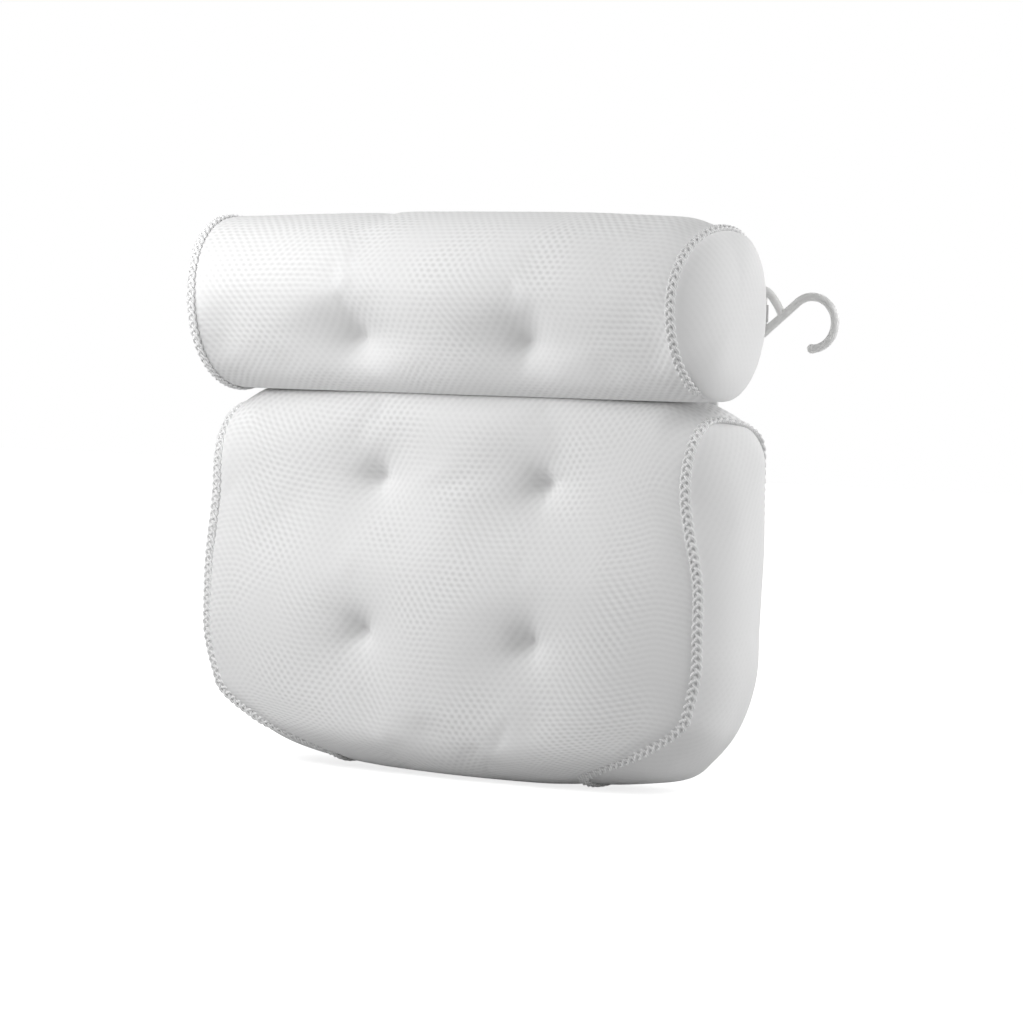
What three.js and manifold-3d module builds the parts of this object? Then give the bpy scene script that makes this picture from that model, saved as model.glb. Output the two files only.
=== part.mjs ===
// Bath pillow: a round neck roll above a tufted back pad, joined by a fabric hinge strip.
// Six suction cups turn in eyelets in the back fabric, each behind a tuft, and a drying hook
// swings in a webbing loop on the back of the roll.
// Millimetres, +Z up. The wall that the cups hold to is the plane y = 0, the front faces -y,
// and z = 0 and x = 0 are the middle of the pad's four cups.

import * as THREE from "three";
import Module from "manifold-3d";

const wasm = await Module();
wasm.setup();

// Fabric and fits
const fabric = 3; // thickness of the air mesh fabric
const seat = 0.3; // gap between pieces that touch
const fillingGap = 1; // slack between a cover and its filling
const overrun = 6; // how far a cutter reaches past what it cuts
const wallGap = 14; // wall to back fabric, which the cups hold apart

// Back pad
const padHeight = 247; // crest to foot, down the middle
const padDepth = 96; // back fabric to front, down the middle of the belly
const padLean = 12; // how much less deep it is at the shoulder
const padSideLean = 3; // the same at the side seams
const padToeLean = 5; // how much less deep the side seams are at the toe
const padCrestRise = 105; // crest above the middle of the pad's cups
const padCrestSet = 44; // crest line in front of the back fabric
const padFootSet = 42; // lowest line in front of the back fabric
const padBellyHalf = 187.5; // half the width between the side seams at the belly, in front
const padCrestDraw = 9.5; // how much less that is over the crest
const padShoulderDraw = 5.5; // the same at the shoulders
const padBackDraw = 3.5; // the same down the back
const padFootHalf = 96; // the same under the foot, where the corners have come round
const padShoulderRound = 42; // height of the rounding between crest and front
const padSideShoulder = 50; // the same at the side seams
const padNapeRound = 24; // height of the rounding between crest and back
const padToeRound = 30; // height of the rounding between foot and front
const padHeelRound = 22; // height of the rounding between foot and back
const padSideDrop = 7; // how much lower the crest lies at the side seams
const padSideRise = 1; // how much higher the foot lies at the side seams
const padFrontTuck = 8; // how far the front draws in at the side seams
const padBackTuck = 3; // how far the back draws in at the side seams
const padBow = 4; // bow of the front between shoulder and toe
const padSideBulge = 13; // how far a side panel swells past its seam
const padFootFlat = 15; // seam that runs straight under the foot, from its middle
const padFootTrim = 1.2; // side panels end this far before that straight seam
const padCornerLength = 92; // seam that turns round a lower corner, in front
const padHeelLength = 88; // the same at the back

// Neck roll
const rollLength = 363; // between the end seams
const rollRadius = 58;
const rollSet = 61; // roll's middle in front of the back fabric
const rollEndTuck = 2; // how much smaller the radius is at an end seam
const rollEndDrop = 3; // how much lower the top is at an end seam
const rollBackTopRound = 34; // height of the rounding above the flattened back
const rollBackFootRound = 20; // height of the rounding below the flattened back
const rollEndBulge = 14; // how far an end panel swells past its seam
const rollLift = 0.5; // roll above the pad's crest, where the two covers touch
const rollCupClear = 1; // eyelet flanges above the hinge strip

// Tufts
const cupSpacingX = 128; // between the two columns of cups and tufts
const cupSpacingZ = 100; // between the pad's two rows
const tuftDepth = 22;
const tuftSpread = 16; // distance in which a dimple fades by two thirds
const tuftReach = 80; // radius beyond which a tuft pulls nothing
const tuftBlunt = 3; // radius of the rounded bottom of a dimple
const tuftSeamPower = 10; // how late a dimple gives way to the seam beside it

// Edging over the seams
const edgingRadius = 3;

// Hinge strip
const stripWidth = 300;
const stripThickness = 2.4;
const stripLap = 6; // sewn on to the pad and on to the roll

// Suction cup, eyelet and washer
const cupRadius = 28;
const cupRim = 2.5; // width of the flat contact ring
const cupLip = 1.1; // thickness of the edge
const cupHollow = 6.5; // depth of the hollow at its middle
const cupWall = 2.6; // thickness over the hollow
const cupBossRadius = 8;
const neckRadius = 3.4;
const neckSlack = 0.5; // radial play of a neck in its eyelet
const headRadius = 6.5;
const headThickness = 3.6;
const headTipRadius = 3;
const eyeletWall = 1.3;
const flangeRadius = 9;
const flangeThickness = 1.1;
const flareRadius = 7;
const flareThickness = 0.9;
const washerRadius = 10.5;
const washerThickness = 1.2;

// Tie threads
const tieRadius = 0.7;
const tieFootSpread = 8.8; // each leg's distance from the cup's axis at the washer
const tieHeadSpread = 1.6; // the same where it comes out at the front
const tieStand = 2; // how far the stitch stands off the bottom of its dimple

// Drying hook and its loop
const hookWire = 2.2; // radius of the moulded wire
const hookTip = 2.5; // radius of the rounded tip
const hookBarHalf = 14; // half the bar that the webbing goes round
const hookEyeReach = 14; // bar to the apex of the eye
const hookEyeRound = 6; // how far the eye's upper corner is rounded
const hookEyeDrop = 1.6; // apex below the middle of the bar
const hookBend = 16.4; // radius of the bend, to the middle of the wire
const hookBendReach = 35.4; // bar to the centre of the bend
const hookBendDrop = 6; // centre of the bend below the middle of the bar
const hookTipAngle = -94; // degrees, where the bend ends
const hookBarInset = 2; // bar inside the roll's end seam
const hookBarDrop = 2.2; // middle of the bar below the roll's middle
const loopWidth = 14;
const loopThickness = 1;
const loopLength = 30; // from the bar to the sewn end

// Places worked out from the sizes above
const backY = -wallGap;
const padCrest = padCrestRise;
const padFoot = padCrestRise - padHeight;
const rollMiddleZ = padCrest + rollLift + rollRadius;
const rollMiddleY = backY - rollSet;
const stripTop = rollMiddleZ - rollRadius + rollBackFootRound + stripLap;
const rollCupZ = stripTop + rollCupClear + flangeRadius;
const cupX = cupSpacingX / 2;
const padCupZ = cupSpacingZ / 2;
const panelTrim = Math.max(edgingRadius, fabric) + 3 * seat; // panel edge to seam line
const fillingInset = fabric + fillingGap;
const loopBore = hookWire + seat;
const loopRadius = loopBore + loopThickness;
const barX = rollLength / 2 - hookBarInset;
const barY = backY - rollEndTuck + edgingRadius + seat + loopRadius;
const barZ = rollMiddleZ - hookBarDrop;

// The middle and the side of each cushion, as sections across x.
const padMiddle = {
  back: backY,
  front: backY - padDepth,
  lean: padLean,
  toeLean: 0,
  top: padCrest,
  bottom: padFoot,
  crestY: backY - padCrestSet,
  footY: backY - padFootSet,
  shoulder: padShoulderRound,
  nape: padNapeRound,
  toe: padToeRound,
  heel: padHeelRound,
  bow: padBow,
};
const padSide = {
  ...padMiddle,
  back: padMiddle.back - padBackTuck,
  front: padMiddle.front + padFrontTuck,
  lean: padSideLean,
  toeLean: padToeLean,
  bow: 0,
  shoulder: padSideShoulder,
  top: padMiddle.top - padSideDrop,
  bottom: padMiddle.bottom + padSideRise,
};
const rollMiddle = {
  back: backY,
  front: rollMiddleY - rollRadius,
  lean: 0,
  toeLean: 0,
  top: rollMiddleZ + rollRadius,
  bottom: rollMiddleZ - rollRadius,
  crestY: rollMiddleY,
  footY: rollMiddleY,
  shoulder: rollRadius,
  nape: rollBackTopRound,
  toe: rollRadius,
  heel: rollBackFootRound,
  bow: 0,
};
const rollEndRadius = rollRadius - rollEndTuck;
const rollEndTop = rollRadius - rollEndDrop;
const rollSide = {
  ...rollMiddle,
  back: backY - rollEndTuck,
  front: rollMiddleY - rollEndRadius,
  top: rollMiddleZ + rollEndTop,
  bottom: rollMiddleZ - rollEndRadius,
  shoulder: rollEndTop,
  nape: rollEndTop,
  toe: rollEndRadius,
  heel: rollEndRadius,
};

// A cushion's outer surface: the two sections, how full it is between them, and its tufts.
const padShape = {
  middle: padMiddle,
  side: padSide,
  crownPower: 3,
  crestPower: 10,
  roundPower: 2.3,
  bulge: padSideBulge,
  halfWidth: padHalfWidth,
  widthInset: 0,
  tufts: [
    [-cupX, padCupZ],
    [cupX, padCupZ],
    [-cupX, -padCupZ],
    [cupX, -padCupZ],
  ],
};
const rollShape = {
  middle: rollMiddle,
  side: rollSide,
  crownPower: 3.5,
  crestPower: 3.5,
  roundPower: 2,
  bulge: rollEndBulge,
  halfWidth: () => rollLength / 2,
  widthInset: 0,
  tufts: [
    [-cupX, rollCupZ],
    [cupX, rollCupZ],
  ],
};

const mix = (a, b, t) => a + (b - a) * t;
const clamp01 = (t) => Math.min(1, Math.max(0, t));
const ease = (t) => clamp01(t) * clamp01(t) * (3 - 2 * clamp01(t));

function blend(a, b, t) {
  const made = {};
  for (const key of Object.keys(a)) made[key] = mix(a[key], b[key], t);
  return made;
}

// The same shape, everywhere nearer its middle by one distance.
function inset(shape, distance) {
  const shrink = (section) => ({
    ...section,
    back: section.back - distance,
    front: section.front + distance,
    top: section.top - distance,
    bottom: section.bottom + distance,
    shoulder: section.shoulder - distance,
    nape: section.nape - distance,
    toe: section.toe - distance,
    heel: section.heel - distance,
  });
  return {
    ...shape,
    middle: shrink(shape.middle),
    side: shrink(shape.side),
    widthInset: shape.widthInset + distance,
    cover: shape.cover ?? shape,
  };
}

// Length of a quarter of an ellipse.
function quarterLength(a, b) {
  const h = ((a - b) / (a + b)) ** 2;
  return ((Math.PI * (a + b)) / 4) * (1 + (3 * h) / (10 + Math.sqrt(4 - 3 * h)));
}

// A section is one loop in six stretches, counted from 0 to 6: up the back, the nape, the
// shoulder, down the front, the toe and the heel. The crest is at 2 and the foot at 5.
const crestAt = 2;
const loopEnd = 6;

function sectionPoint(section, along, roundPower) {
  const stretch = (Math.floor(along) + loopEnd) % loopEnd;
  const f = along - Math.floor(along);
  const power = 2 / roundPower;
  const up = Math.sin((Math.PI / 2) * f) ** power;
  const over = Math.cos((Math.PI / 2) * f) ** power;
  const { back, front, lean, toeLean, top, bottom, crestY, footY, bow } = section;
  const { shoulder, nape, toe, heel } = section;
  if (stretch === 0) return [back, mix(bottom + heel, top - nape, f)];
  if (stretch === 1) return [mix(crestY, back, over), top - nape + nape * up];
  if (stretch === 2) return [mix(crestY, front + lean, up), top - shoulder + shoulder * over];
  if (stretch === 3) {
    const leant = lean * (1 - ease(f)) + toeLean * ease(2 * f - 1);
    const y = front + leant - bow * Math.sin(Math.PI * f) ** 2;
    return [y, mix(top - shoulder, bottom + toe, f)];
  }
  if (stretch === 4) return [mix(footY, front + toeLean, over), bottom + toe - toe * up];
  return [mix(footY, back, up), bottom + heel - heel * over];
}

// Length of the pad's side seam round the toe or round the heel, without its turn inwards.
function footRound(isBack) {
  const { front, toeLean, back, footY, toe, heel } = padSide;
  return isBack ? quarterLength(back - footY, heel) : quarterLength(footY - front - toeLean, toe);
}

// Half the pad's width at q stretches from the crest, down the front or down the back. In
// front it is narrow at the shoulders and full at the belly, and the lower corners draw in
// over a longer run than they do at the back.
function padHalfWidth(q, isBack) {
  const { top, bottom, shoulder, nape, toe, heel } = padSide;
  const round = footRound(isBack);
  const straight = isBack ? top - nape - bottom - heel : top - shoulder - bottom - toe;
  const fromFoot = q > 2 ? (3 - q) * round : round + (2 - q) * straight;
  const corner = clamp01((fromFoot - padFootFlat) / (isBack ? padHeelLength : padCornerLength));
  const cornerPower = 0.82;
  const open = Math.sin((Math.PI / 2) * corner ** cornerPower);
  const bellyShare = 0.52;
  const shoulderHalf = padBellyHalf - (isBack ? padBackDraw : padShoulderDraw);
  const bellyHalf = padBellyHalf - (isBack ? padBackDraw : 0);
  const side =
    q < 1
      ? mix(padBellyHalf - padCrestDraw, shoulderHalf, ease(q))
      : mix(shoulderHalf, bellyHalf, ease((q - 1) / bellyShare));
  return mix(padFootHalf, side, open);
}

// Stretches from the crest, whichever way round.
const fromCrest = (along) => {
  const q = Math.abs(along - crestAt);
  return q > loopEnd / 2 ? loopEnd - q : q;
};

function halfWidthAt(shape, along) {
  const isBack = along < crestAt || along > crestAt + loopEnd / 2;
  return shape.halfWidth(fromCrest(along), isBack) - shape.widthInset;
}

// How much longer a step along the seam line is than the same step round the section.
function seamSlant(shape, along) {
  const step = 0.01;
  const a = seamPoint(shape.cover ?? shape, along - step);
  const b = seamPoint(shape.cover ?? shape, along + step);
  const round = Math.hypot(b.y - a.y, b.z - a.z);
  return round > 0 ? a.distanceTo(b) / round : 1;
}

// How deep the tufts pull the surface in at a place on the front.
function dimple(shape, x, z) {
  let deep = 0;
  for (const [tx, tz] of shape.tufts) {
    const r = Math.sqrt((x - tx) ** 2 + (z - tz) ** 2 + tuftBlunt ** 2) - tuftBlunt;
    deep += tuftDepth * Math.exp(-r / tuftSpread) * (1 - clamp01(r / tuftReach) ** 2);
  }
  return deep;
}

// A point of the strip of fabric that runs round a cushion, at x in mm.
function stripPoint(shape, along, x) {
  const u = Math.min(Math.abs(x) / halfWidthAt(shape, along), 1);
  const section = blend(shape.side, shape.middle, 1 - u ** shape.crownPower);
  section.top = mix(shape.side.top, shape.middle.top, 1 - u ** shape.crestPower);
  const [y, z] = sectionPoint(section, along, shape.roundPower);
  const reach = section.crestY - section.front - section.lean;
  const facing = clamp01((section.crestY - y) / reach);
  const free = 1 - u ** tuftSeamPower;
  return new THREE.Vector3(x, y + facing * free * dimple(shape, x, z), z);
}

// A point of the seam line on the right side.
function seamPoint(shape, along) {
  const [y, z] = sectionPoint(shape.side, along, shape.roundPower);
  return new THREE.Vector3(halfWidthAt(shape, along), y, z);
}

// Stations from low to high, closer together near each of the given places and one on each.
function stations(low, high, count, places, near) {
  const fine = 400;
  const crowd = 3;
  const weights = [0];
  for (let i = 1; i <= fine; i += 1) {
    const at = mix(low, high, (i - 0.5) / fine);
    const pull = places.reduce((sum, p) => sum + Math.exp(-(((at - p) / near) ** 2)), 0);
    weights.push(weights[i - 1] + 1 + crowd * pull);
  }
  const made = [];
  for (let k = 0; k <= count; k += 1) {
    const wanted = (weights[fine] * k) / count;
    let i = 1;
    while (i < fine && weights[i] < wanted) i += 1;
    const part = (wanted - weights[i - 1]) / (weights[i] - weights[i - 1]);
    made.push(mix(low, high, (i - 1 + part) / fine));
  }
  for (const place of places) {
    const off = made.map((at) => Math.abs(at - place));
    made[off.indexOf(Math.min(...off))] = place;
  }
  return made;
}

// Geometry helpers. A mesh is a list of triangles of points, welded and turned to face out.
function solid(triangles) {
  const places = new Map();
  const position = [];
  const index = [];
  const grain = 1e4;
  for (const triangle of triangles) {
    const ids = triangle.map((p) => {
      const key = [p.x, p.y, p.z].map((c) => Math.round(c * grain)).join();
      if (!places.has(key)) {
        places.set(key, places.size);
        position.push(p.x, p.y, p.z);
      }
      return places.get(key);
    });
    if (new Set(ids).size === 3) index.push(...ids);
  }
  let volume = 0;
  const corner = (i) => new THREE.Vector3().fromArray(position, 3 * index[i]);
  for (let i = 0; i < index.length; i += 3) {
    volume += corner(i).dot(corner(i + 1).cross(corner(i + 2)));
  }
  if (volume < 0) index.reverse();
  const geometry = new THREE.BufferGeometry();
  geometry.setAttribute("position", new THREE.Float32BufferAttribute(position, 3));
  geometry.setIndex(index);
  return geometry;
}

function trianglesOf(geometry) {
  const flat = geometry.index ? geometry.toNonIndexed() : geometry;
  const position = flat.getAttribute("position");
  const made = [];
  for (let i = 0; i < position.count; i += 3) {
    made.push([0, 1, 2].map((k) => new THREE.Vector3().fromBufferAttribute(position, i + k)));
  }
  return made;
}

function toManifold(geometry) {
  return new wasm.Manifold(
    new wasm.Mesh({
      numProp: 3,
      vertProperties: new Float32Array(geometry.getAttribute("position").array),
      triVerts: new Uint32Array(geometry.index.array),
    }),
  );
}

function fromManifold(made) {
  const mesh = made.getMesh();
  const geometry = new THREE.BufferGeometry();
  geometry.setAttribute("position", new THREE.BufferAttribute(mesh.vertProperties, 3));
  geometry.setIndex(new THREE.BufferAttribute(mesh.triVerts, 1));
  return geometry;
}

// What is left of a piece after the cutters, without crumbs.
function cut(geometry, cutters) {
  const whole = toManifold(geometry);
  const left = cutters.reduce((body, cutter) => body.subtract(toManifold(cutter)), whole);
  const biggest = left.decompose().reduce((a, b) => (b.volume() > a.volume() ? b : a));
  return fromManifold(biggest);
}

function join(geometries) {
  return fromManifold(geometries.map(toManifold).reduce((a, b) => a.add(b)));
}

function quad(a, b, c, d) {
  return [
    [a, b, c],
    [a, c, d],
  ];
}

// The faces between neighbouring rows of points, and between the last and first if closed.
function skin(rows, closed = false) {
  const made = [];
  const last = closed ? rows.length : rows.length - 1;
  for (let i = 0; i < last; i += 1) {
    const a = rows[i];
    const b = rows[(i + 1) % rows.length];
    for (let k = 0; k + 1 < a.length; k += 1) made.push(...quad(a[k], a[k + 1], b[k + 1], b[k]));
  }
  return made;
}

const flip = (triangles) => triangles.map(([a, b, c]) => [a, c, b]);
const column = (rows, k) => rows.map((row) => row.at(k));

// A panel of fabric: outer and inner rows of points, joined round their open edges.
function panel(outer, inner, closed = false) {
  const rims = [];
  rims.push(...skin(column(outer, 0).map((p, i) => [inner[i].at(0), p]), closed));
  rims.push(...skin(column(outer, -1).map((p, i) => [p, inner[i].at(-1)]), closed));
  if (!closed) {
    const first = [inner.at(0), outer.at(0)];
    const last = [outer.at(-1), inner.at(-1)];
    rims.push(...skin(first), ...skin(last));
  }
  return solid([...skin(outer, closed), ...flip(skin(inner, closed)), ...rims]);
}

// A round bar along a line of points, with a radius at each, closed on itself or capped.
function bar(points, radii, sides, closed = false) {
  const count = points.length;
  const tangent = (i) => {
    const before = points[closed ? (i + count - 1) % count : Math.max(i - 1, 0)];
    const after = points[closed ? (i + 1) % count : Math.min(i + 1, count - 1)];
    return after.clone().sub(before).normalize();
  };
  const first = tangent(0);
  const helper = Math.abs(first.z) > 0.9 ? new THREE.Vector3(0, 1, 0) : new THREE.Vector3(0, 0, 1);
  let side = helper.clone().cross(first).normalize();
  const rings = points.map((p, i) => {
    const t = tangent(i);
    side = side.clone().addScaledVector(t, -side.dot(t)).normalize();
    const up = t.clone().cross(side);
    return Array.from({ length: sides + 1 }, (_, k) => {
      const angle = (2 * Math.PI * (k % sides)) / sides;
      return p
        .clone()
        .addScaledVector(side, radii[i] * Math.cos(angle))
        .addScaledVector(up, radii[i] * Math.sin(angle));
    });
  });
  const ends = closed
    ? []
    : [
        ...fan(rings[0].slice(0, sides), points[0]),
        ...flip(fan(rings.at(-1).slice(0, sides), points.at(-1))),
      ];
  return solid([...skin(rings, closed), ...ends]);
}

function fan(ring, middle) {
  return ring.map((p, i) => [middle, ring[(i + 1) % ring.length], p]);
}

// A turned piece: radius and y along its profile, about the y axis through x, z.
function turned(profile, segments, x, z) {
  const lathe = new THREE.LatheGeometry(
    profile.map(([r, y]) => new THREE.Vector2(r, y)),
    segments,
  );
  lathe.translate(x, 0, z);
  return solid(trianglesOf(lathe));
}

// A plug for cutting round holes along y.
function plug(radius, fromY, toY, segments, x, z) {
  const profile = [
    [0, fromY],
    [radius, fromY],
    [radius, toY],
    [0, toY],
  ];
  return turned(profile, segments, x, z);
}

// Where each stretch of a section is sampled, in the same way for covers and fillings.
const roundSteps = 4;
const tuftShare = 0.12;
const rollSteps = [3, 4, 6, 0, 8, 4]; // in each stretch; the front has no length
const rollEndCount = 5;
const rollEdgingCount = 7;
const turnShares = [0, 0.22, 0.44, 0.64, 0.82, 1];
const cornerShare = 0.9;
const frontCount = 12;
const acrossCount = 14;
const backCount = 9;
const steps = (from, count) => Array.from({ length: count }, (_, i) => from + i / count);

function frontSteps(shape, count, near) {
  const { top, shoulder, bottom, toe } = shape.middle;
  const high = top - shoulder;
  const low = bottom + toe;
  const tufts = new Set(shape.tufts.map(([, z]) => (high - z) / (high - low)));
  return stations(0, 1, count, [...tufts, cornerShare], near).slice(0, -1);
}

// Places across a row of that half width: the same for every row near the tufts, and
// drawn together beyond them where the row is short.
function acrossSteps(half, count) {
  const kept = cupX + tuftSpread;
  const full = stations(-padBellyHalf, padBellyHalf, count, [-cupX, cupX], tuftSpread);
  const share = (half - kept) / (padBellyHalf - kept);
  return full.map((x) => {
    const beyond = Math.max(0, Math.abs(x) - kept);
    return Math.sign(x) * (Math.min(Math.abs(x), kept) + beyond * share);
  });
}

// Rows of points across the strip at each place along it. A panel is held back from the
// seams by trim, and a filling, without trim, by its inset.
function stripRows(shape, alongs, count, trim) {
  return alongs.map((along) => {
    const heldBack = trim > 0 ? trim * seamSlant(shape, along) - shape.widthInset : 0;
    const half = halfWidthAt(shape, along) - heldBack;
    return acrossSteps(half, count).map((x) => stripPoint(shape, along, x));
  });
}

// Side panels end where the two seams of a side meet the flat under the foot. So q runs
// from 0 at the crest to 3 there, and this gives its place in stretches from the crest.
function placeOf(q, isBack) {
  const flatShare = (padFootFlat + padFootTrim) / footRound(isBack);
  return q > 2 ? 2 + (q - 2) * (1 - flatShare) : q;
}

const backAlong = (q) => (crestAt - placeOf(q, true) + loopEnd) % loopEnd;

// The pad's side panel or the side of its filling: rows across from the front seam to the
// back seam, swelling outwards square to the seam, so upwards over the crest and downwards
// where the corner comes round under the foot.
function sideRows(shape, qs, across, trim) {
  const crestTurn = 0.5;
  const footTurn = 1.25;
  const footShare = 0.52;
  const crestShare = 0.27;
  const flatness = 2.4;
  const held = inset(shape, trim).side;
  const depth = held.back - held.front;
  return qs.map((q) => {
    const ends = [crestAt + placeOf(q, false), backAlong(q)].map((along) => {
      const [y, z] = sectionPoint(held, along, shape.roundPower);
      return new THREE.Vector3(halfWidthAt(shape, along), y, z);
    });
    const gap = ends[0].distanceTo(ends[1]);
    const flat = 2 * (padFootFlat + padFootTrim);
    const swell = shape.bulge * clamp01((gap - flat) / (depth - flat));
    const down = footTurn * ease((q / 3 - footShare) / (1 - footShare));
    const up = crestTurn * (1 - ease(q / 3 / crestShare));
    const out = new THREE.Vector3(Math.cos(down - up), 0, -Math.sin(down - up));
    return across.map((v) => {
      const rise = 1 - Math.abs(2 * v - 1) ** flatness;
      return ends[0].clone().lerp(ends[1], v).addScaledVector(out, swell * rise);
    });
  });
}

const mirrored = (p) => new THREE.Vector3(-p.x, p.y, p.z);
const mirrorRows = (rows) => rows.map((row) => row.map(mirrored));

// The roll's end: rings of points from the middle of the end out to its seam.
function endRings(shape, alongs, shares, trim) {
  const held = inset(shape, trim).side;
  const half = halfWidthAt(shape, crestAt);
  const flatness = 2.2;
  return shares.map((share) => {
    const x = half + shape.bulge * (1 - share ** flatness);
    const ring = alongs.map((along) => {
      const [y, z] = sectionPoint(held, along, shape.roundPower);
      return new THREE.Vector3(x, mix(rollMiddleY, y, share), mix(rollMiddleZ, z, share));
    });
    return [...ring, ring[0]];
  });
}

// Where the pad's panels, filling and edgings are sampled, all in the same places.
const padFrontSteps = frontSteps(padShape, frontCount, tuftShare);
const padQs = [
  ...steps(0, roundSteps),
  ...padFrontSteps.map((f) => 1 + f),
  ...turnShares.map((share) => 2 + share),
];
const padFrontAlongs = padQs.map((q) => crestAt + placeOf(q, false));
const padBackAlongs = padQs.slice(1).reverse().map(backAlong);
const padEdgingAt = [...padFrontAlongs, loopEnd - 1, ...padBackAlongs];

// The same for the roll, whose end seams have only the four round stretches.
const roundStretches = [1, 2, 4, 5];
const rollEndAt = roundStretches.flatMap((stretch) => steps(stretch, rollEndCount));
const rollEdgingAt = roundStretches.flatMap((stretch) => steps(stretch, rollEdgingCount));

// The edging that covers a seam, as a rounded ridge along the seam line.
function edging(shape, alongs, radius) {
  const sides = 6;
  const points = alongs.map((along) => seamPoint(shape, along));
  return bar(points, points.map(() => radius), sides, true);
}

const mirrorSolid = (made) => solid(trianglesOf(made).map((t) => t.map(mirrored)));

// Materials
function finish(color, roughness, metalness = 0) {
  return new THREE.MeshStandardMaterial({ color, roughness, metalness });
}
const meshFabric = finish(0xeeeeee, 0.9);
const edgingYarn = finish(0xe4e4e4, 0.95);
const fibreFill = finish(0xf6f6f6, 1);
const softPlastic = finish(0xdfe3e6, 0.25);
const hardPlastic = finish(0xe6e6e6, 0.4);
const webbing = finish(0xe9e9e9, 0.85);

const pillow = new THREE.Group();
const padGroup = new THREE.Group();
const rollGroup = new THREE.Group();
pillow.add(padGroup, rollGroup);

function add(group, name, geometry, material) {
  geometry.computeVertexNormals();
  const mesh = new THREE.Mesh(geometry, material);
  mesh.name = name;
  group.add(mesh);
}

// Every cup's place, with the name of its corner.
const cupPlaces = [
  { name: "roll_left", x: -cupX, z: rollCupZ, group: rollGroup, shape: rollShape },
  { name: "roll_right", x: cupX, z: rollCupZ, group: rollGroup, shape: rollShape },
  { name: "pad_upper_left", x: -cupX, z: padCupZ, group: padGroup, shape: padShape },
  { name: "pad_upper_right", x: cupX, z: padCupZ, group: padGroup, shape: padShape },
  { name: "pad_lower_left", x: -cupX, z: -padCupZ, group: padGroup, shape: padShape },
  { name: "pad_lower_right", x: cupX, z: -padCupZ, group: padGroup, shape: padShape },
];

// Eyelet sizes that follow from the neck and the fabric
const boreRadius = neckRadius + neckSlack;
const barrelRadius = boreRadius + eyeletWall;
const innerFabricY = backY - fabric;
const washerY = innerFabricY - seat;
const flareY = washerY - washerThickness - seat;
const headY = flareY - flareThickness - seat;
const flangeY = backY + seat;
const shoulderY = flangeY + flangeThickness + seat;
const headEndY = headY - headThickness;
const tieRoom = tieHeadSpread + tieRadius + 2 * seat;
const eyeletSegments = 12;
const cupSegments = 16;

// The front of the fabric at the bottom of a tuft.
function tuftBottom({ shape, x, z }) {
  const fine = 600;
  const front = Array.from({ length: fine }, (_, i) =>
    stripPoint(shape, crestAt + ((i + 1) * loopEnd) / (2 * (fine + 1)), x),
  );
  const off = (p) => Math.abs(p.z - z);
  return front.reduce((best, p) => (off(p) < off(best) ? p : best)).y;
}

function eyeletHoles(places) {
  const radius = barrelRadius + seat;
  return places.map((p) =>
    plug(radius, backY + overrun, innerFabricY - overrun, eyeletSegments, p.x, p.z),
  );
}

function tieHoles(places) {
  return places.map((p) => {
    const y = tuftBottom(p);
    return plug(tieRoom, y - overrun, y + overrun, eyeletSegments, p.x, p.z);
  });
}

// Room in a filling for a washer and a cup's head, and for the tie threads.
function fillingPockets(places) {
  const pocketRadius = washerRadius + 2 * seat;
  const footRoom = tieFootSpread + tieRadius + 2 * seat;
  return places.flatMap((p) => [
    plug(pocketRadius, backY, headEndY - seat, eyeletSegments, p.x, p.z),
    turned(
      [
        [0, headEndY],
        [footRoom, headEndY],
        [tieRoom, tuftBottom(p) + fabric],
        [tieRoom, tuftBottom(p) - overrun],
        [0, tuftBottom(p) - overrun],
      ],
      eyeletSegments,
      p.x,
      p.z,
    ),
  ]);
}

// Pad
function buildPad() {
  const inner = inset(padShape, fabric);
  const core = inset(padShape, fillingInset);
  const places = cupPlaces.filter((p) => p.group === padGroup);
  const isRound = (along) => along >= 1 || along === 0;
  const around = padEdgingAt.filter(isRound);
  const nape = around.findIndex((along) => along === 0) + 1;
  const wrapAlongs = [...around.slice(nape), ...around.slice(0, nape)];
  const wrapOuter = stripRows(padShape, wrapAlongs, acrossCount, panelTrim);
  const wrapInner = stripRows(inner, wrapAlongs, acrossCount, panelTrim);
  add(padGroup, "pad_cover", cut(panel(wrapOuter, wrapInner), tieHoles(places)), meshFabric);

  const backLength = padMiddle.top - padMiddle.nape - (padMiddle.bottom + padMiddle.heel);
  const edge = (2 * seat) / backLength;
  const between = padBackAlongs.filter((along) => along > 0 && along < 1);
  const backAlongs = [edge, ...between, 1 - edge];
  const backOuter = stripRows(padShape, backAlongs, backCount, panelTrim);
  const backInner = stripRows(inner, backAlongs, backCount, panelTrim);
  const back = cut(panel(backOuter, backInner), eyeletHoles(places));
  add(padGroup, "pad_back_panel", back, meshFabric);

  const sideAcross = [0, 0.13, 0.34, 0.66, 0.87, 1];
  const sideOuter = sideRows(padShape, padQs, sideAcross, panelTrim);
  const sideInner = sideRows(inner, padQs, sideAcross, panelTrim - fabric);
  const leftSide = panel(mirrorRows(sideOuter), mirrorRows(sideInner));
  add(padGroup, "pad_side_right", panel(sideOuter, sideInner), meshFabric);
  add(padGroup, "pad_side_left", leftSide, meshFabric);

  const strip = stripRows(core, padEdgingAt, acrossCount, 0);
  const cap = sideRows(core, padQs, sideAcross, 0);
  const foot = strip[padFrontAlongs.length].at(-1);
  const side = [...skin(cap), ...skin([cap.at(-1), cap.at(-1).map(() => foot)])];
  const filling = solid([
    ...skin(strip, true),
    ...side,
    ...flip(side.map((t) => t.map(mirrored))),
  ]);
  add(padGroup, "pad_filling", cut(filling, fillingPockets(places)), fibreFill);
}

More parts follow.
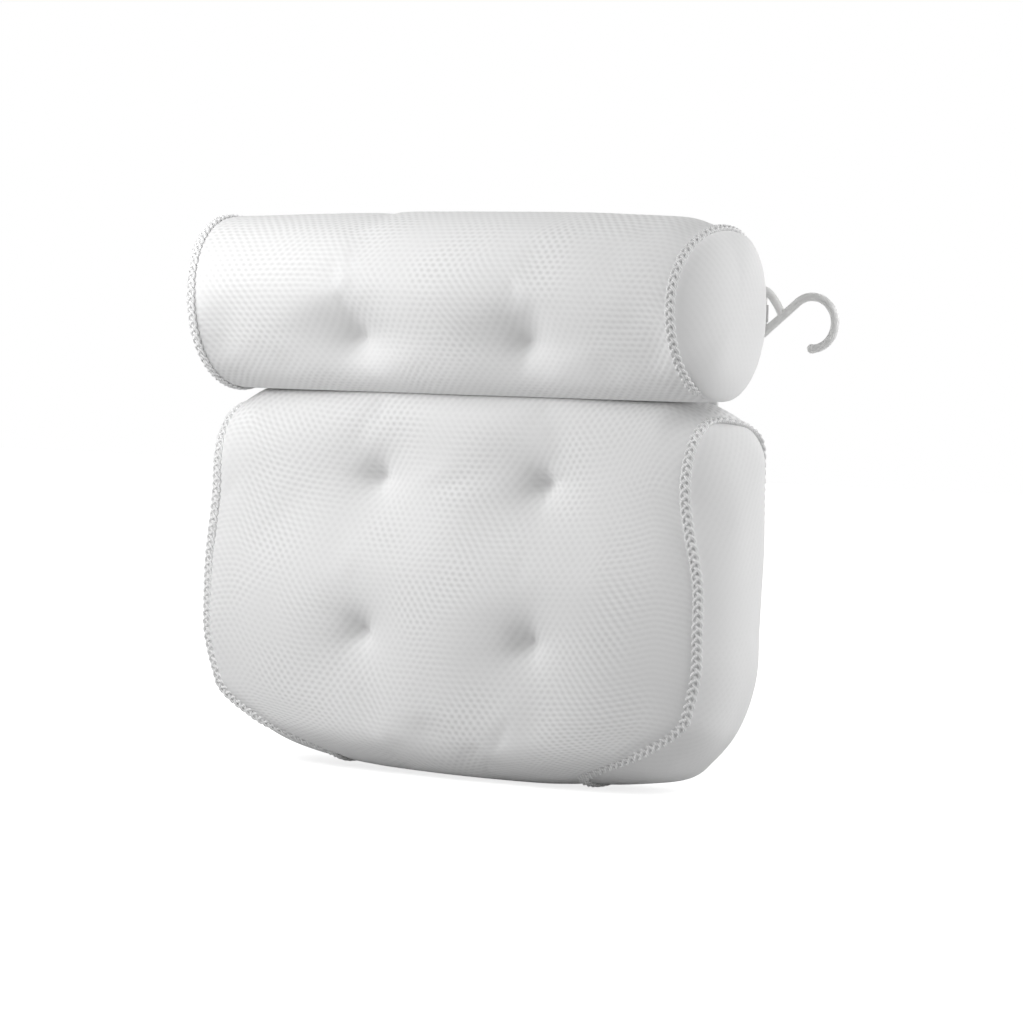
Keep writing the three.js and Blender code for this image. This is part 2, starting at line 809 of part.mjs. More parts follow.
function buildEdgings() {
  const sets = [
    [padGroup, "pad", edging(padShape, padEdgingAt, edgingRadius)],
    [rollGroup, "roll", edging(rollShape, rollEdgingAt, edgingRadius)],
  ];
  for (const [group, name, made] of sets) {
    add(group, name + "_edging_right", made, edgingYarn);
    add(group, name + "_edging_left", mirrorSolid(made), edgingYarn);
  }
}

// Roll
function buildRoll() {
  const inner = inset(rollShape, fabric);
  const core = inset(rollShape, fillingInset);
  const places = cupPlaces.filter((p) => p.group === rollGroup);
  const alongs = rollSteps.flatMap((count, stretch) => steps(stretch, count));
  const outer = stripRows(rollShape, alongs, acrossCount, panelTrim);
  const lining = stripRows(inner, alongs, acrossCount, panelTrim);
  const cover = cut(panel(outer, lining, true), [...eyeletHoles(places), ...tieHoles(places)]);
  add(rollGroup, "roll_cover", cover, meshFabric);

  const ringShares = [0, 0.3, 0.55, 0.78, 1];
  const endOuter = endRings(rollShape, rollEndAt, ringShares, panelTrim);
  const endInner = endRings(inner, rollEndAt, ringShares, panelTrim - fabric);
  const rim = skin([endOuter.at(-1), endInner.at(-1)]);
  const end = [...skin(endOuter), ...flip(skin(endInner)), ...rim];
  add(rollGroup, "roll_end_right", solid(end), meshFabric);
  add(rollGroup, "roll_end_left", solid(end.map((t) => t.map(mirrored))), meshFabric);

  const strip = stripRows(core, alongs, acrossCount, 0);
  const coreRings = endRings(core, alongs, ringShares, 0);
  const cap = skin(coreRings);
  const filling = solid([...skin(strip, true), ...cap, ...flip(cap.map((t) => t.map(mirrored)))]);
  add(rollGroup, "roll_filling", cut(filling, fillingPockets(places)), fibreFill);
}

// Hinge strip: flat against the back, lapping the pad's back and the roll's.
function buildHingeStrip() {
  const low = padMiddle.top - padMiddle.nape - stripLap;
  const strip = new THREE.BoxGeometry(stripWidth, stripThickness, stripTop - low);
  strip.translate(0, backY + seat + stripThickness / 2, (low + stripTop) / 2);
  add(padGroup, "hinge_strip", solid(trianglesOf(strip)), meshFabric);
}

// Suction cups with their eyelets, washers and tie threads
function cupProfile() {
  const hollowShares = [0.45, 0.8];
  const insideRadius = cupRadius - cupRim;
  const hollowAt = (share) => -cupHollow * Math.cos((Math.PI / 2) * share);
  const inside = hollowShares.map((share) => [insideRadius * share, hollowAt(share)]);
  const bossY = shoulderY;
  const domeY = -(cupHollow + cupWall);
  const bendShare = 0.55;
  const bendDepthShare = 0.42;
  const bossTaperShare = 0.6;
  return [
    [0, -cupHollow],
    ...inside,
    [insideRadius, 0],
    [cupRadius, 0],
    [cupRadius, -cupLip],
    [mix(cupBossRadius, cupRadius, bendShare), mix(domeY, 0, bendDepthShare)],
    [cupBossRadius, domeY],
    [mix(neckRadius, cupBossRadius, bossTaperShare), bossY],
    [neckRadius, bossY],
    [neckRadius, headY],
    [headRadius, headY],
    [headRadius, (headY + headEndY) / 2],
    [headTipRadius, headEndY],
    [0, headEndY],
  ];
}

function eyeletProfile() {
  return [
    [boreRadius, flangeY + flangeThickness],
    [flangeRadius, flangeY + flangeThickness / 2],
    [flangeRadius, flangeY],
    [barrelRadius, flangeY],
    [barrelRadius, flareY],
    [flareRadius, flareY],
    [flareRadius, flareY - flareThickness],
    [boreRadius, flareY - flareThickness],
    [boreRadius, flangeY + flangeThickness],
  ];
}

function washerProfile() {
  const hole = barrelRadius + seat;
  return [
    [hole, washerY],
    [washerRadius, washerY],
    [washerRadius, washerY - washerThickness],
    [hole, washerY - washerThickness],
    [hole, washerY],
  ];
}

function tie(place) {
  const footY = washerY - washerThickness - seat;
  const bottom = tuftBottom(place);
  const headAt = bottom - tieStand;
  const leg = (way) => [
    new THREE.Vector3(way * tieHeadSpread, bottom + fabric, 0),
    new THREE.Vector3(way * tieFootSpread, footY, 0),
  ];
  const over = [-1, 1].map((way) => new THREE.Vector3(way * tieHeadSpread, headAt, 0));
  const points = [...leg(-1).reverse(), ...over, ...leg(1)];
  return bar(points, points.map(() => tieRadius), 6).translate(place.x, 0, place.z);
}

function buildCups() {
  for (const place of cupPlaces) {
    const { name, x, z, group } = place;
    add(group, "suction_cup_" + name, turned(cupProfile(), cupSegments, x, z), softPlastic);
    add(group, "eyelet_" + name, turned(eyeletProfile(), eyeletSegments, x, z), hardPlastic);
    add(group, "washer_" + name, turned(washerProfile(), eyeletSegments, x, z), hardPlastic);
    add(group, "tuft_tie_" + name, tie(place), edgingYarn);
  }
}

// Drying hook: a triangular eye round the webbing, and a bend, in the plane y = barY.
function buildHook() {
  const at = (x, z) => new THREE.Vector3(barX + x, barY, barZ + z);
  const sides = 8;
  const wire = (points) => bar(points, points.map(() => hookWire), sides);
  const ball = (radius, p) => {
    const sphere = new THREE.SphereGeometry(radius, sides, sides - 2);
    return solid(trianglesOf(sphere.translate(p.x, p.y, p.z)));
  };
  const low = new THREE.Vector2(0, -hookBarHalf);
  const centre = new THREE.Vector2(hookBendReach, -hookBendDrop);
  const toCentre = centre.clone().sub(low);
  const aim = Math.atan2(toCentre.y, toCentre.x) + Math.asin(hookBend / toCentre.length());
  const fromAngle = aim + Math.PI / 2;
  const toAngle = THREE.MathUtils.degToRad(hookTipAngle);
  const bendSteps = 18;
  const bend = Array.from({ length: bendSteps + 1 }, (_, i) => {
    const angle = mix(fromAngle, toAngle, i / bendSteps);
    return at(centre.x + hookBend * Math.cos(angle), centre.y + hookBend * Math.sin(angle));
  });
  const lowEnd = at(0, -hookBarHalf);
  const highEnd = at(0, hookBarHalf);
  const apex = at(hookEyeReach, -hookEyeDrop);
  const corner = at(hookEyeRound, hookBarHalf);
  const leg = new THREE.QuadraticBezierCurve3(highEnd, corner, apex).getPoints(6);
  const hook = join([
    wire([lowEnd, ...bend]),
    ball(hookTip, bend.at(-1)),
    wire([lowEnd, highEnd]),
    wire(leg),
    ball(hookWire, lowEnd),
    ball(hookWire, highEnd),
  ]);
  add(rollGroup, "hook", hook, hardPlastic);
}

// Webbing loop: one piece folded round the hook's bar, its two ends sewn on the roll's back.
function buildHookLoop() {
  const nearY = backY + seat;
  const farY = nearY + 2 * loopThickness;
  const sewnX = barX - loopLength;
  const openX = barX - loopRadius - loopLength / 4;
  const from = (-2 * Math.PI) / 3;
  const outline = new THREE.Shape();
  outline.moveTo(sewnX, nearY);
  outline.lineTo(openX, nearY);
  outline.absarc(barX, barY, loopRadius, from, -from, false);
  outline.lineTo(openX, farY);
  outline.lineTo(sewnX, farY);
  outline.closePath();
  const hole = new THREE.Path();
  hole.absarc(barX, barY, loopBore, from, -from, false);
  hole.lineTo(openX + loopThickness, nearY + loopThickness);
  hole.closePath();
  outline.holes.push(hole);
  const loop = new THREE.ExtrudeGeometry(outline, {
    depth: loopWidth,
    bevelEnabled: false,
    curveSegments: 8,
  });
  loop.translate(0, 0, barZ - loopWidth / 2);
  add(rollGroup, "hook_loop", solid(trianglesOf(loop)), webbing);
}

buildPad();
buildRoll();
buildEdgings();
buildHingeStrip();
buildCups();
buildHook();
buildHookLoop();

export default pillow;
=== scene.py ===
import math

import bmesh
import bpy
from mathutils import Matrix, Vector, noise


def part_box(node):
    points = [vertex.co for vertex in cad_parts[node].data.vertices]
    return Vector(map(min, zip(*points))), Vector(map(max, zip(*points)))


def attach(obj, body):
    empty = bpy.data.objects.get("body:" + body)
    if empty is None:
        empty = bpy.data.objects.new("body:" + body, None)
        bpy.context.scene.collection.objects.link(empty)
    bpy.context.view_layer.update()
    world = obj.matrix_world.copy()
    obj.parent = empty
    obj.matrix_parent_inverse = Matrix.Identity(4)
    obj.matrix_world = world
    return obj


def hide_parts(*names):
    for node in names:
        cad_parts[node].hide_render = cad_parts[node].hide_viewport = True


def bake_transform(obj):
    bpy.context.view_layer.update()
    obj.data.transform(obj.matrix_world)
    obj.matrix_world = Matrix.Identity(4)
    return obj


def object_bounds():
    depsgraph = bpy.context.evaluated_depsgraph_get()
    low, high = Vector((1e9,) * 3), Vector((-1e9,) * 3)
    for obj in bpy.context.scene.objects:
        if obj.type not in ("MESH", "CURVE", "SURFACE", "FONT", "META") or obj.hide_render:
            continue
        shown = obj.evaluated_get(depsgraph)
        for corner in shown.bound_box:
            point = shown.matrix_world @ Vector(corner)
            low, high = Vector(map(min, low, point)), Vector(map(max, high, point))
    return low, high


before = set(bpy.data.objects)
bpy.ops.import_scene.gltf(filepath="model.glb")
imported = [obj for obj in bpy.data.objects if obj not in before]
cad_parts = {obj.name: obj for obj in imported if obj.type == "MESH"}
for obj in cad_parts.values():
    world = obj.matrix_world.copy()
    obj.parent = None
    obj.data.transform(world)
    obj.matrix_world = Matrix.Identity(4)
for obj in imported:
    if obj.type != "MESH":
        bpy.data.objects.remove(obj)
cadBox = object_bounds()
mm = 0.001

# The two cushions in mm, as sections across x in the middle and at the side seams. A pair of
# numbers is a range over which something grows from nothing to all. Two values of which one
# is for the front and one for the back stand in that order.
pad = {
    "middle": {"back": -14, "front": -110, "lean": 17, "toeLean": 0, "top": 107, "bottom": -142,
               "crestY": -83, "footY": -56, "shoulder": 42, "nape": 24, "toe": 30, "heel": 22,
               "bow": 9},
    "side": {"back": -17, "front": -102, "lean": 3, "toeLean": 5, "top": 95, "bottom": -141,
             "crestY": -58, "footY": -56, "shoulder": 50, "nape": 24, "toe": 30, "heel": 22,
             "bow": 0},
    "crownPower": 3, "crestPower": 1.1, "crestFrom": 0.855, "footPower": 3, "roundPower": 2.3,
    "halfWidth": 188, "crestDraw": 5, "shoulderDraw": (5, 3.5), "bellyDraw": (0, 7),
    "bellyGrows": ((1, 1.4), (1.2, 1.8)),
    "footHalf": 96, "footFlat": 16.2, "heelFrom": 15, "heelLength": 98, "heelPower": 0.82,
    "toeOpens": ((50, 115), (18, 76)), "toeShare": 0.86,
    "puff": 2.2, "pinch": 3.4, "napePuff": 3.5, "napeSpan": (2.2, 1.7), "napeReach": 30,
    "bulge": 13, "bulgePower": 2.3, "rearPower": 6, "rearGrows": (0.3, 1.3),
    "topSwell": 0.85, "topSpan": (0.2, 1.3),
    "cornerSwell": 0.5, "cornerAt": 2.12, "cornerWide": 0.3, "leftCorner": 3,
    "turnDown": 1.45, "downSpan": (1.41, 2.76), "turnUp": 0.5, "upSpan": (0, 0.81),
    "rightDraw": {"by": 7, "x": (120, 180), "y": (-40, -70), "z": (-20, 60)},
    "footTilt": {"by": 1.8, "x": (20, -100), "z": (-60, -130)},
    "tufts": [(-64, 50), (64, 50), (-64, -50), (64, -50)], "tuftSpread": 25,
    "tuftNames": ["pad_upper_left", "pad_upper_right", "pad_lower_left", "pad_lower_right"],
    "cell": 5,               # size of the fabric's cells
    "counts": [14, 46, 9], "flatCells": 8, "heldRows": 4, "heldCrest": 0.2,
}
roll = {
    "middle": {"back": -14, "front": -133, "lean": 0, "toeLean": 0, "top": 221.5,
               "bottom": 104.2, "crestY": -75, "footY": -79, "shoulder": 58, "nape": 34,
               "toe": 58, "heel": 20, "bow": 0},
    "side": {"back": -16, "front": -131, "lean": 0, "toeLean": 0, "top": 218.5,
             "bottom": 105.9, "crestY": -75, "footY": -75, "shoulder": 55, "nape": 55,
             "toe": 56, "heel": 56, "bow": 0},
    "crownPower": 3.5, "crestPower": 3.5, "crestFrom": 0, "footPower": 14, "roundPower": 2,
    "halfWidth": 181.5, "centre": (-75, 163.5), "puff": 1.2, "pinch": 1.4,
    "valley": 11, "valleyZ": 136, "valleyHalf": 27, "valleyPower": 6,
    "bulge": 16.5, "bulgePower": 3.2, "rearPower": 6, "endOut": 2,
    "overhang": 0.08, "overhangWide": 0.07, "hiddenY": (-10, 30), "hiddenZ": (-30, -55),
    "endDraw": 5.5, "endPower": 4, "lowRise": 0.5,
    "rightDrop": 5, "dropX": (158, 186), "dropHigh": 55,
    "leftTilt": 3.5, "tiltHigh": 58, "tiltShift": 0.2,
    "tufts": [(-64, 141.5), (64, 141.5)], "tuftSpread": 30,
    "tuftNames": ["roll_left", "roll_right"],
    "cell": 5,
    "counts": {2: 24, 4: 24, 5: 13, 0: 10, 1: 13}, "heldRows": (4.6, 5.6),
    "endShares": [1, 0.985, 0.96, 0.93, 0.88, 0.81, 0.73, 0.64, 0.54, 0.43, 0.32, 0.2, 0.09, 0],
}
tuft = {"depth": 23, "core": 7, "coreShare": 0.4, "reach": 80, "blunt": 0.8, "sag": 0.3,
        "folds": 1.4, "foldDepth": 1.8, "foldStart": 4, "foldReach": 20, "foldSeed": 0.37,
        "held": 5, "overHead": 0.6, "headReach": 11, "headPower": 1.5}
seam = {"puffReach": 22, "pinchReach": 5}
meeting = {"z": 105.3, "gap": 0.1, "padFrom": 100}    # where the cushions touch
tuftPlaces = [(name, shape, *spot) for shape in (roll, pad)
              for name, spot in zip(shape["tuftNames"], shape["tufts"])]


def mix(a, b, t):
    return a + (b - a) * t


def clamp(t):
    return min(1, max(0, t))


def ease(t):
    t = clamp(t)
    return t * t * (3 - 2 * t)


def ramp(value, start, end):
    return ease((value - start) / (end - start))


def quarterLength(a, b):
    h = ((a - b) / (a + b)) ** 2
    return math.pi * (a + b) / 4 * (1 + 3 * h / (10 + math.sqrt(4 - 3 * h)))


# A section is one loop in six stretches, from 0 to 6: up the back, the nape, the shoulder,
# down the front, the toe and the heel. The crest is at 2 and the foot at 5.
def sectionPoint(section, along, roundPower):
    stretch = int(math.floor(along)) % 6
    f = along - math.floor(along)
    up = math.sin(math.pi / 2 * f) ** (2 / roundPower)
    over = max(math.cos(math.pi / 2 * f), 0) ** (2 / roundPower)
    s = section
    if stretch == 0:
        return s["back"], mix(s["bottom"] + s["heel"], s["top"] - s["nape"], f)
    if stretch == 1:
        return mix(s["crestY"], s["back"], over), s["top"] - s["nape"] + s["nape"] * up
    if stretch == 2:
        return (mix(s["crestY"], s["front"] + s["lean"], up),
                s["top"] - s["shoulder"] + s["shoulder"] * over)
    if stretch == 3:
        leant = s["lean"] * (1 - ease(f)) + s["toeLean"] * ease(2 * f - 1)
        y = s["front"] + leant - s["bow"] * math.sin(math.pi * f) ** 2
        return y, mix(s["top"] - s["shoulder"], s["bottom"] + s["toe"], f)
    if stretch == 4:
        return (mix(s["footY"], s["front"] + s["toeLean"], over),
                s["bottom"] + s["toe"] - s["toe"] * up)
    return mix(s["footY"], s["back"], up), s["bottom"] + s["heel"] - s["heel"] * over


def footRound(isBack):
    s = pad["side"]
    if isBack:
        return quarterLength(s["back"] - s["footY"], s["heel"])
    return quarterLength(s["footY"] - s["front"] - s["toeLean"], s["toe"])


# Half the pad's width at q stretches from the crest, down the front or down the back.
def padHalfWidth(q, isBack):
    s = pad["side"]
    bend = footRound(isBack)
    near, far = ("nape", "heel") if isBack else ("shoulder", "toe")
    straight = s["top"] - s[near] - s["bottom"] - s[far]
    fromFoot = (3 - q) * bend if q > 2 else bend + (2 - q) * straight
    if isBack:
        up = clamp((fromFoot - pad["heelFrom"]) / pad["heelLength"])
        openness = math.sin(math.pi / 2 * up ** pad["heelPower"])
    else:
        openness = mix(*(ramp(fromFoot, *r) for r in pad["toeOpens"]), pad["toeShare"])
    shoulder = pad["halfWidth"] - pad["shoulderDraw"][isBack]
    if q < 1:
        side = mix(pad["halfWidth"] - pad["crestDraw"], shoulder, ease(q))
    else:
        belly = pad["halfWidth"] - pad["bellyDraw"][isBack]
        side = mix(shoulder, belly, ramp(q, *pad["bellyGrows"][isBack]))
    return mix(pad["footHalf"], side, openness)


def halfWidthAt(shape, along):
    if shape is roll:
        return roll["halfWidth"]
    along = along % 6
    q = abs(along - 2)
    isBack = along < 2 or along > 5
    return padHalfWidth(6 - q if q > 3 else q, isBack)


# How deep the tufts draw the cloth in. Each is steeper above on the left, and has some folds.
def dimple(shape, x, z):
    deep = 0
    for tx, tz in shape["tufts"]:
        r = math.sqrt((x - tx) ** 2 + (z - tz) ** 2 + tuft["blunt"] ** 2) - tuft["blunt"]
        fade = 1 - clamp(r / tuft["reach"]) ** 2
        turn = math.atan2(z - tz, x - tx)
        slack = 1 + tuft["sag"] * math.cos(turn + math.pi / 4)
        bowl = mix(math.exp(-r / shape["tuftSpread"] / slack),
                   math.exp(-r / tuft["core"] / slack), tuft["coreShare"])
        way = Vector((math.cos(turn), math.sin(turn), 0)) * tuft["folds"]
        fold = tuft["foldDepth"] * noise.noise(way + Vector((tx, tz, 0)) * tuft["foldSeed"])
        fold *= (1 - math.exp(-r / tuft["foldStart"])) * math.exp(-r / tuft["foldReach"])
        deep += (tuft["depth"] * bowl + fold) * fade
        more = shape.get("deeper", {}).get((tx, tz), 0)
        deep += more * math.exp(-(r / tuft["headReach"]) ** tuft["headPower"])
    return deep


# Beside a seam the cloth first stands out and then dips in to it, in front and on top.
def puffed(shape, section, along, gap):
    power = shape["roundPower"]
    y, z = sectionPoint(section, along, power)
    before, after = (sectionPoint(section, along + d, power) for d in (-0.01, 0.01))
    out = Vector((after[1] - before[1], before[0] - after[0])).normalized()
    dip = math.exp(-gap / seam["pinchReach"])
    height = shape["puff"] * math.exp(-gap / seam["puffReach"]) - shape["pinch"] * dip
    height *= ease(max(-out.x, out.y))
    if shape is pad and 1 < along < pad["napeSpan"][0]:
        height += (pad["napePuff"] * ramp(along, *pad["napeSpan"]) * (1 - dip)
                   * math.exp(-gap / pad["napeReach"]))
    return y + out.x * height, z + out.y * height


# A point of the strip of fabric that runs round a cushion, and the same without tufts.
def stripPoint(shape, along, x):
    u = min(abs(x) / halfWidthAt(shape, along), 1)
    t = 1 - u ** shape["crownPower"]
    section = {k: mix(v, shape["middle"][k], t) for k, v in shape["side"].items()}
    crest = 1 - clamp((u - shape["crestFrom"]) / (1 - shape["crestFrom"])) ** shape["crestPower"]
    foot = 1 - u ** shape["footPower"]
    section["top"] = mix(shape["side"]["top"], shape["middle"]["top"], crest)
    section["bottom"] = mix(shape["side"]["bottom"], shape["middle"]["bottom"], foot)
    y, z = puffed(shape, section, along, halfWidthAt(shape, along) - abs(x))
    reach = section["crestY"] - section["front"] - section["lean"]
    facing = clamp((section["crestY"] - y) / reach)
    dent = dimple(shape, x, z)
    if shape is roll:                    # its lower half is drawn in a little all along
        dent += (1 - u ** roll["valleyPower"]) * roll["valley"] * math.exp(
            -((z - roll["valleyZ"]) / roll["valleyHalf"]) ** 2)
    dented = Vector((x, y + facing * dent, z))
    if shape is roll:                    # the cushions press each other flat where they meet
        dented.z = max(dented.z, meeting["z"] - meeting["gap"])
    elif z > meeting["padFrom"]:
        dented.z = min(dented.z, meeting["z"] + meeting["gap"])
    return drawnIn(shape, dented), Vector((x, y, z))


# Each tuft's bottom is brought at least to the head of its tie.
def reachTies(shape):
    deeper, bottoms = {}, {}
    for (tx, tz), name in zip(shape["tufts"], shape["tuftNames"]):
        along = min((3 + k / 400 for k in range(800)),
                    key=lambda a: abs(stripPoint(shape, a, tx)[1].z - tz))
        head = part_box("tuft_tie_" + name)[0].y / mm + tuft["overHead"]
        bottom = stripPoint(shape, along, tx)[0].y
        deeper[(tx, tz)] = max(head - bottom, 0)
        bottoms[(tx, tz)] = max(head, bottom)
        print("tuft", name, "head", round(head, 1), "bottom", round(bottom, 1))
    shape["deeper"], shape["bottoms"] = deeper, bottoms


# The roll's ends are not flat: their seams reach further out above and below than in front,
# the right one sits lower at its top and the left one leans. The pad's right seam is drawn in
# and its foot rises a little to the left.
def drawnIn(shape, place):
    if shape is roll:
        y, z = place.y - roll["centre"][0], place.z - roll["centre"][1]
        size = max(math.hypot(y, z), 1)
        rise, rear = (z / size) ** 2, clamp(y / size) ** 2
        share = clamp(abs(place.x) / roll["halfWidth"]) ** roll["endPower"]
        rise *= 1 if z > 0 else roll["lowRise"]
        place.x *= 1 + share * roll["endDraw"] * (rise - rear) / roll["halfWidth"]
        up = clamp(z / roll["dropHigh"])
        place.z -= roll["rightDrop"] * ramp(place.x, *roll["dropX"]) * up * up
        if place.x < 0:
            place.x -= roll["leftTilt"] * share * (z / roll["tiltHigh"] + roll["tiltShift"])
    else:
        draw, tilt = pad["rightDraw"], pad["footTilt"]
        place.x -= draw["by"] * math.prod(ramp(getattr(place, k), *draw[k]) for k in "xyz")
        place.z += tilt["by"] * math.prod(ramp(getattr(place, k), *tilt[k]) for k in "xz")
    return place


def seamPoint(shape, along, way=1):
    y, z = puffed(shape, shape["side"], along, 0)
    return drawnIn(shape, Vector((way * halfWidthAt(shape, along), y, z)))


# The cells are smaller near a tuft, and across the cloth also near a seam.
dense = {"tuft": 1.2, "tuftReach": 13, "seam": 0.8, "seamReach": 9}


def densityNear(distance):
    return 1 + dense["tuft"] * math.exp(-(distance / dense["tuftReach"]) ** 2)


# Places along a stretch of the seam line or the middle at equal distances.
def evenPlaces(shape, start, end, count):
    fine = 200
    lengths = [0]
    last = None
    for i in range(fine + 1):
        along = mix(start, end, i / fine)
        both = [stripPoint(shape, along, w * halfWidthAt(shape, along))[1] for w in (0, 1)]
        if last:
            near = min(abs(both[0].z - tz) for _, tz in shape["tufts"])
            density = densityNear(near) if 2 < along < 5 else 1
            lengths.append(lengths[-1]
                           + density * max((both[k] - last[k]).length for k in (0, 1)))
        last = both
    places = []
    for k in range(count):
        wanted = lengths[-1] * k / count
        i = max(j for j in range(fine) if lengths[j] <= wanted)
        part = (wanted - lengths[i]) / (lengths[i + 1] - lengths[i])
        places.append(mix(start, end, (i + part) / fine))
    return places


# Places across the cloth, as shares of its half width.
def acrossShares(half, cell, tuftX):
    fine = 400
    total, runs = 0, [0]
    for k in range(fine):
        x = half * (k + 0.5) / fine
        density = densityNear(x - tuftX)
        density += dense["seam"] * math.exp(-(half - x) / dense["seamReach"])
        total += density * half / fine
        runs.append(total)
    count = round(total / cell)
    shares = [0]
    for k in range(1, count + 1):
        i = next(j for j in range(1, fine + 1) if runs[j] >= total * k / count - 1e-9)
        part = (total * k / count - runs[i - 1]) / (runs[i] - runs[i - 1])
        shares.append((i - 1 + part) / fine)
    return [-t for t in reversed(shares[1:])] + shares


# One closed skin of a cushion. Each face knows its panel, and each corner its place on the
# cloth in metres, measured across and along the weave.
class Skin:
    def __init__(self):
        self.mesh = bmesh.new()
        self.uv = self.mesh.loops.layers.uv.new("cloth")
        self.looks = [self.mesh.verts.layers.float.new(look)
                      for look in ("pulled", "upright", "level")]
        self.held = set()

    def point(self, place, held=False, looks=(0, 0, 0)):
        vert = self.mesh.verts.new(place * mm)
        for layer, value in zip(self.looks, looks):
            vert[layer] = value
        if held:
            self.held.add(vert)
        return vert

    def face(self, verts, cloth, panel):
        kept = [i for i, v in enumerate(verts) if v is not verts[i - 1]]
        if len(kept) < 3:
            return
        made = self.mesh.faces.new([verts[i] for i in kept])
        made.material_index = panel
        for loop, i in zip(made.loops, kept):
            loop[self.uv].uv = (cloth[i][0] * mm, cloth[i][1] * mm)

    def grid(self, rows, cloth, panel, flip=False):
        for i in range(len(rows) - 1):
            for j in range(len(rows[i]) - 1):
                turn = [(i, j), (i, j + 1), (i + 1, j + 1), (i + 1, j)]
                if flip:
                    turn.reverse()
                at = panel(i) if callable(panel) else panel
                self.face([rows[a][b] for a, b in turn], [cloth[a][b] for a, b in turn], at)


# How far the weave is pulled to a tuft, and drawn into upright ribs below the roll and at the
# pad's crest, or level ones beside the pad's seams.
pulls = {"reach": 30, "rollRibs": (143, 119), "crestZ": (80, 45), "crestX": (90, 150),
         "crestFade": 20, "levelRight": (135, 165), "levelLeft": (-150, -175), "leftShare": 0.5}


def looksAt(shape, place):
    if place.y > shape["middle"]["crestY"]:
        return 0, 0, 0
    pull = clamp(sum(math.exp(-(math.hypot(place.x - tx, place.z - tz) / pulls["reach"]) ** 2)
                     for tx, tz in shape["tufts"]))
    if shape is roll:
        return pull, ramp(place.z, *pulls["rollRibs"]), 0
    low = mix(*pulls["crestZ"], ramp(place.x, *pulls["crestX"]))
    upright = ease((place.z - low) / pulls["crestFade"])
    level = ramp(place.x, *pulls["levelRight"])
    level += pulls["leftShare"] * ramp(place.x, *pulls["levelLeft"])
    return pull, upright, level * (1 - upright)


# Rows of the wrapping strip from place to place, with how far each lies along the cloth. The
# last row is the first one again.
def stripRows(skin, shape, alongs, heldRow):
    rows, cloth = [], []
    last = None
    across = acrossShares(shape["halfWidth"], shape["cell"], shape["tufts"][1][0])
    runs = [0] * len(across)
    for along in alongs:
        xs = [halfWidthAt(shape, along) * share for share in across]
        both = [stripPoint(shape, along, x) for x in xs]
        bare = [b for _, b in both]
        if last:
            runs = [run + (b - a).length for a, b, run in zip(last, bare, runs)]
        last = bare
        row = []
        for j, (place, _) in enumerate(both):
            held = j in (0, len(xs) - 1) or heldRow(along) or any(
                math.hypot(place.x - tx, place.z - tz) < tuft["held"]
                for tx, tz in shape["tufts"])
            row.append(skin.point(place, held, looksAt(shape, place)))
        rows.append(row)
        cloth.append(list(zip(xs, runs)))
    for vert in rows[-1]:
        skin.held.discard(vert)
        skin.mesh.verts.remove(vert)
    rows[-1] = rows[0]
    return rows, cloth


def placeOf(q, isBack):
    return 2 + (q - 2) * (1 - pad["footFlat"] / footRound(isBack)) if q > 2 else q


# The way in which the pad's side panel swells: outwards, upwards at the top, down at the foot.
def sideOut(q):
    turn = (pad["turnDown"] * ramp(q, *pad["downSpan"])
            - pad["turnUp"] * (1 - ramp(q, *pad["upSpan"])))
    return Vector((math.cos(turn), 0, -math.sin(turn)))


# The pad: the strip over its front and back, and the side panels swelling between the seams.
def padSkin():
    skin = Skin()
    qs = [p - 2 for s in range(3) for p in evenPlaces(pad, 2 + s, 3 + s, pad["counts"][s])] + [3]
    front = [2 + placeOf(q, False) for q in qs]
    back = [2 - placeOf(q, True) for q in qs]
    flatCells = pad["flatCells"]
    flat = [mix(front[-1], 5, k / flatCells) for k in range(1, flatCells + 1)]
    flat += [mix(5, back[-1] + 6, k / flatCells) for k in range(1, flatCells)]
    alongs = front + flat + [b + 6 for b in reversed(back)]
    rows, cloth = stripRows(skin, pad, alongs,
                            lambda along: abs((along % 6) - 2) < pad["heldCrest"])
    skin.grid(rows, cloth, lambda i: int(0 < (alongs[i] + alongs[i + 1]) / 2 - 6 < 1))
    cells = 2 * flatCells
    depth = pad["side"]["back"] - pad["side"]["front"]
    for side, column, way in ((2, -1, 1), (3, 0, -1)):
        capRows, capCloth = [], []
        for k, q in enumerate(qs):
            a = rows[k][column]
            b = rows[len(rows) - 1 - k][column]
            start, end = a.co / mm, b.co / mm
            if k == 0:
                line = [a] * (cells + 1)
            elif k == len(qs) - 1:
                line = [rows[k + n][column] for n in range(cells + 1)]
            else:
                swell = pad["bulge"] * clamp(((end - start).length - 2 * pad["footFlat"])
                                             / (depth - 2 * pad["footFlat"]))
                corner = math.exp(-((q - pad["cornerAt"]) / pad["cornerWide"]) ** 2)
                swell *= 1 + pad["cornerSwell"] * corner / (1 if way > 0 else pad["leftCorner"])
                swell *= mix(pad["topSwell"], 1, ramp(q, *pad["topSpan"]))
                out = sideOut(q)
                out.x *= way
                rear = mix(pad["bulgePower"], pad["rearPower"], ramp(q, *pad["rearGrows"]))
                line = [a]
                for n in range(1, cells):
                    v = n / cells
                    rise = 1 - abs(2 * v - 1) ** (pad["bulgePower"] if v < 0.5 else rear)
                    line.append(skin.point(start.lerp(end, v) + out * swell * rise,
                                           k < pad["heldRows"]))
                line.append(b)
            capRows.append(line)
            run = sum((capRows[j + 1][cells // 2].co - capRows[j][cells // 2].co).length
                      for j in range(k)) / mm
            capCloth.append([(mix(start.y, end.y, n / cells), run) for n in range(cells + 1)])
        skin.grid(capRows, capCloth, side, flip=side == 3)
    return skin


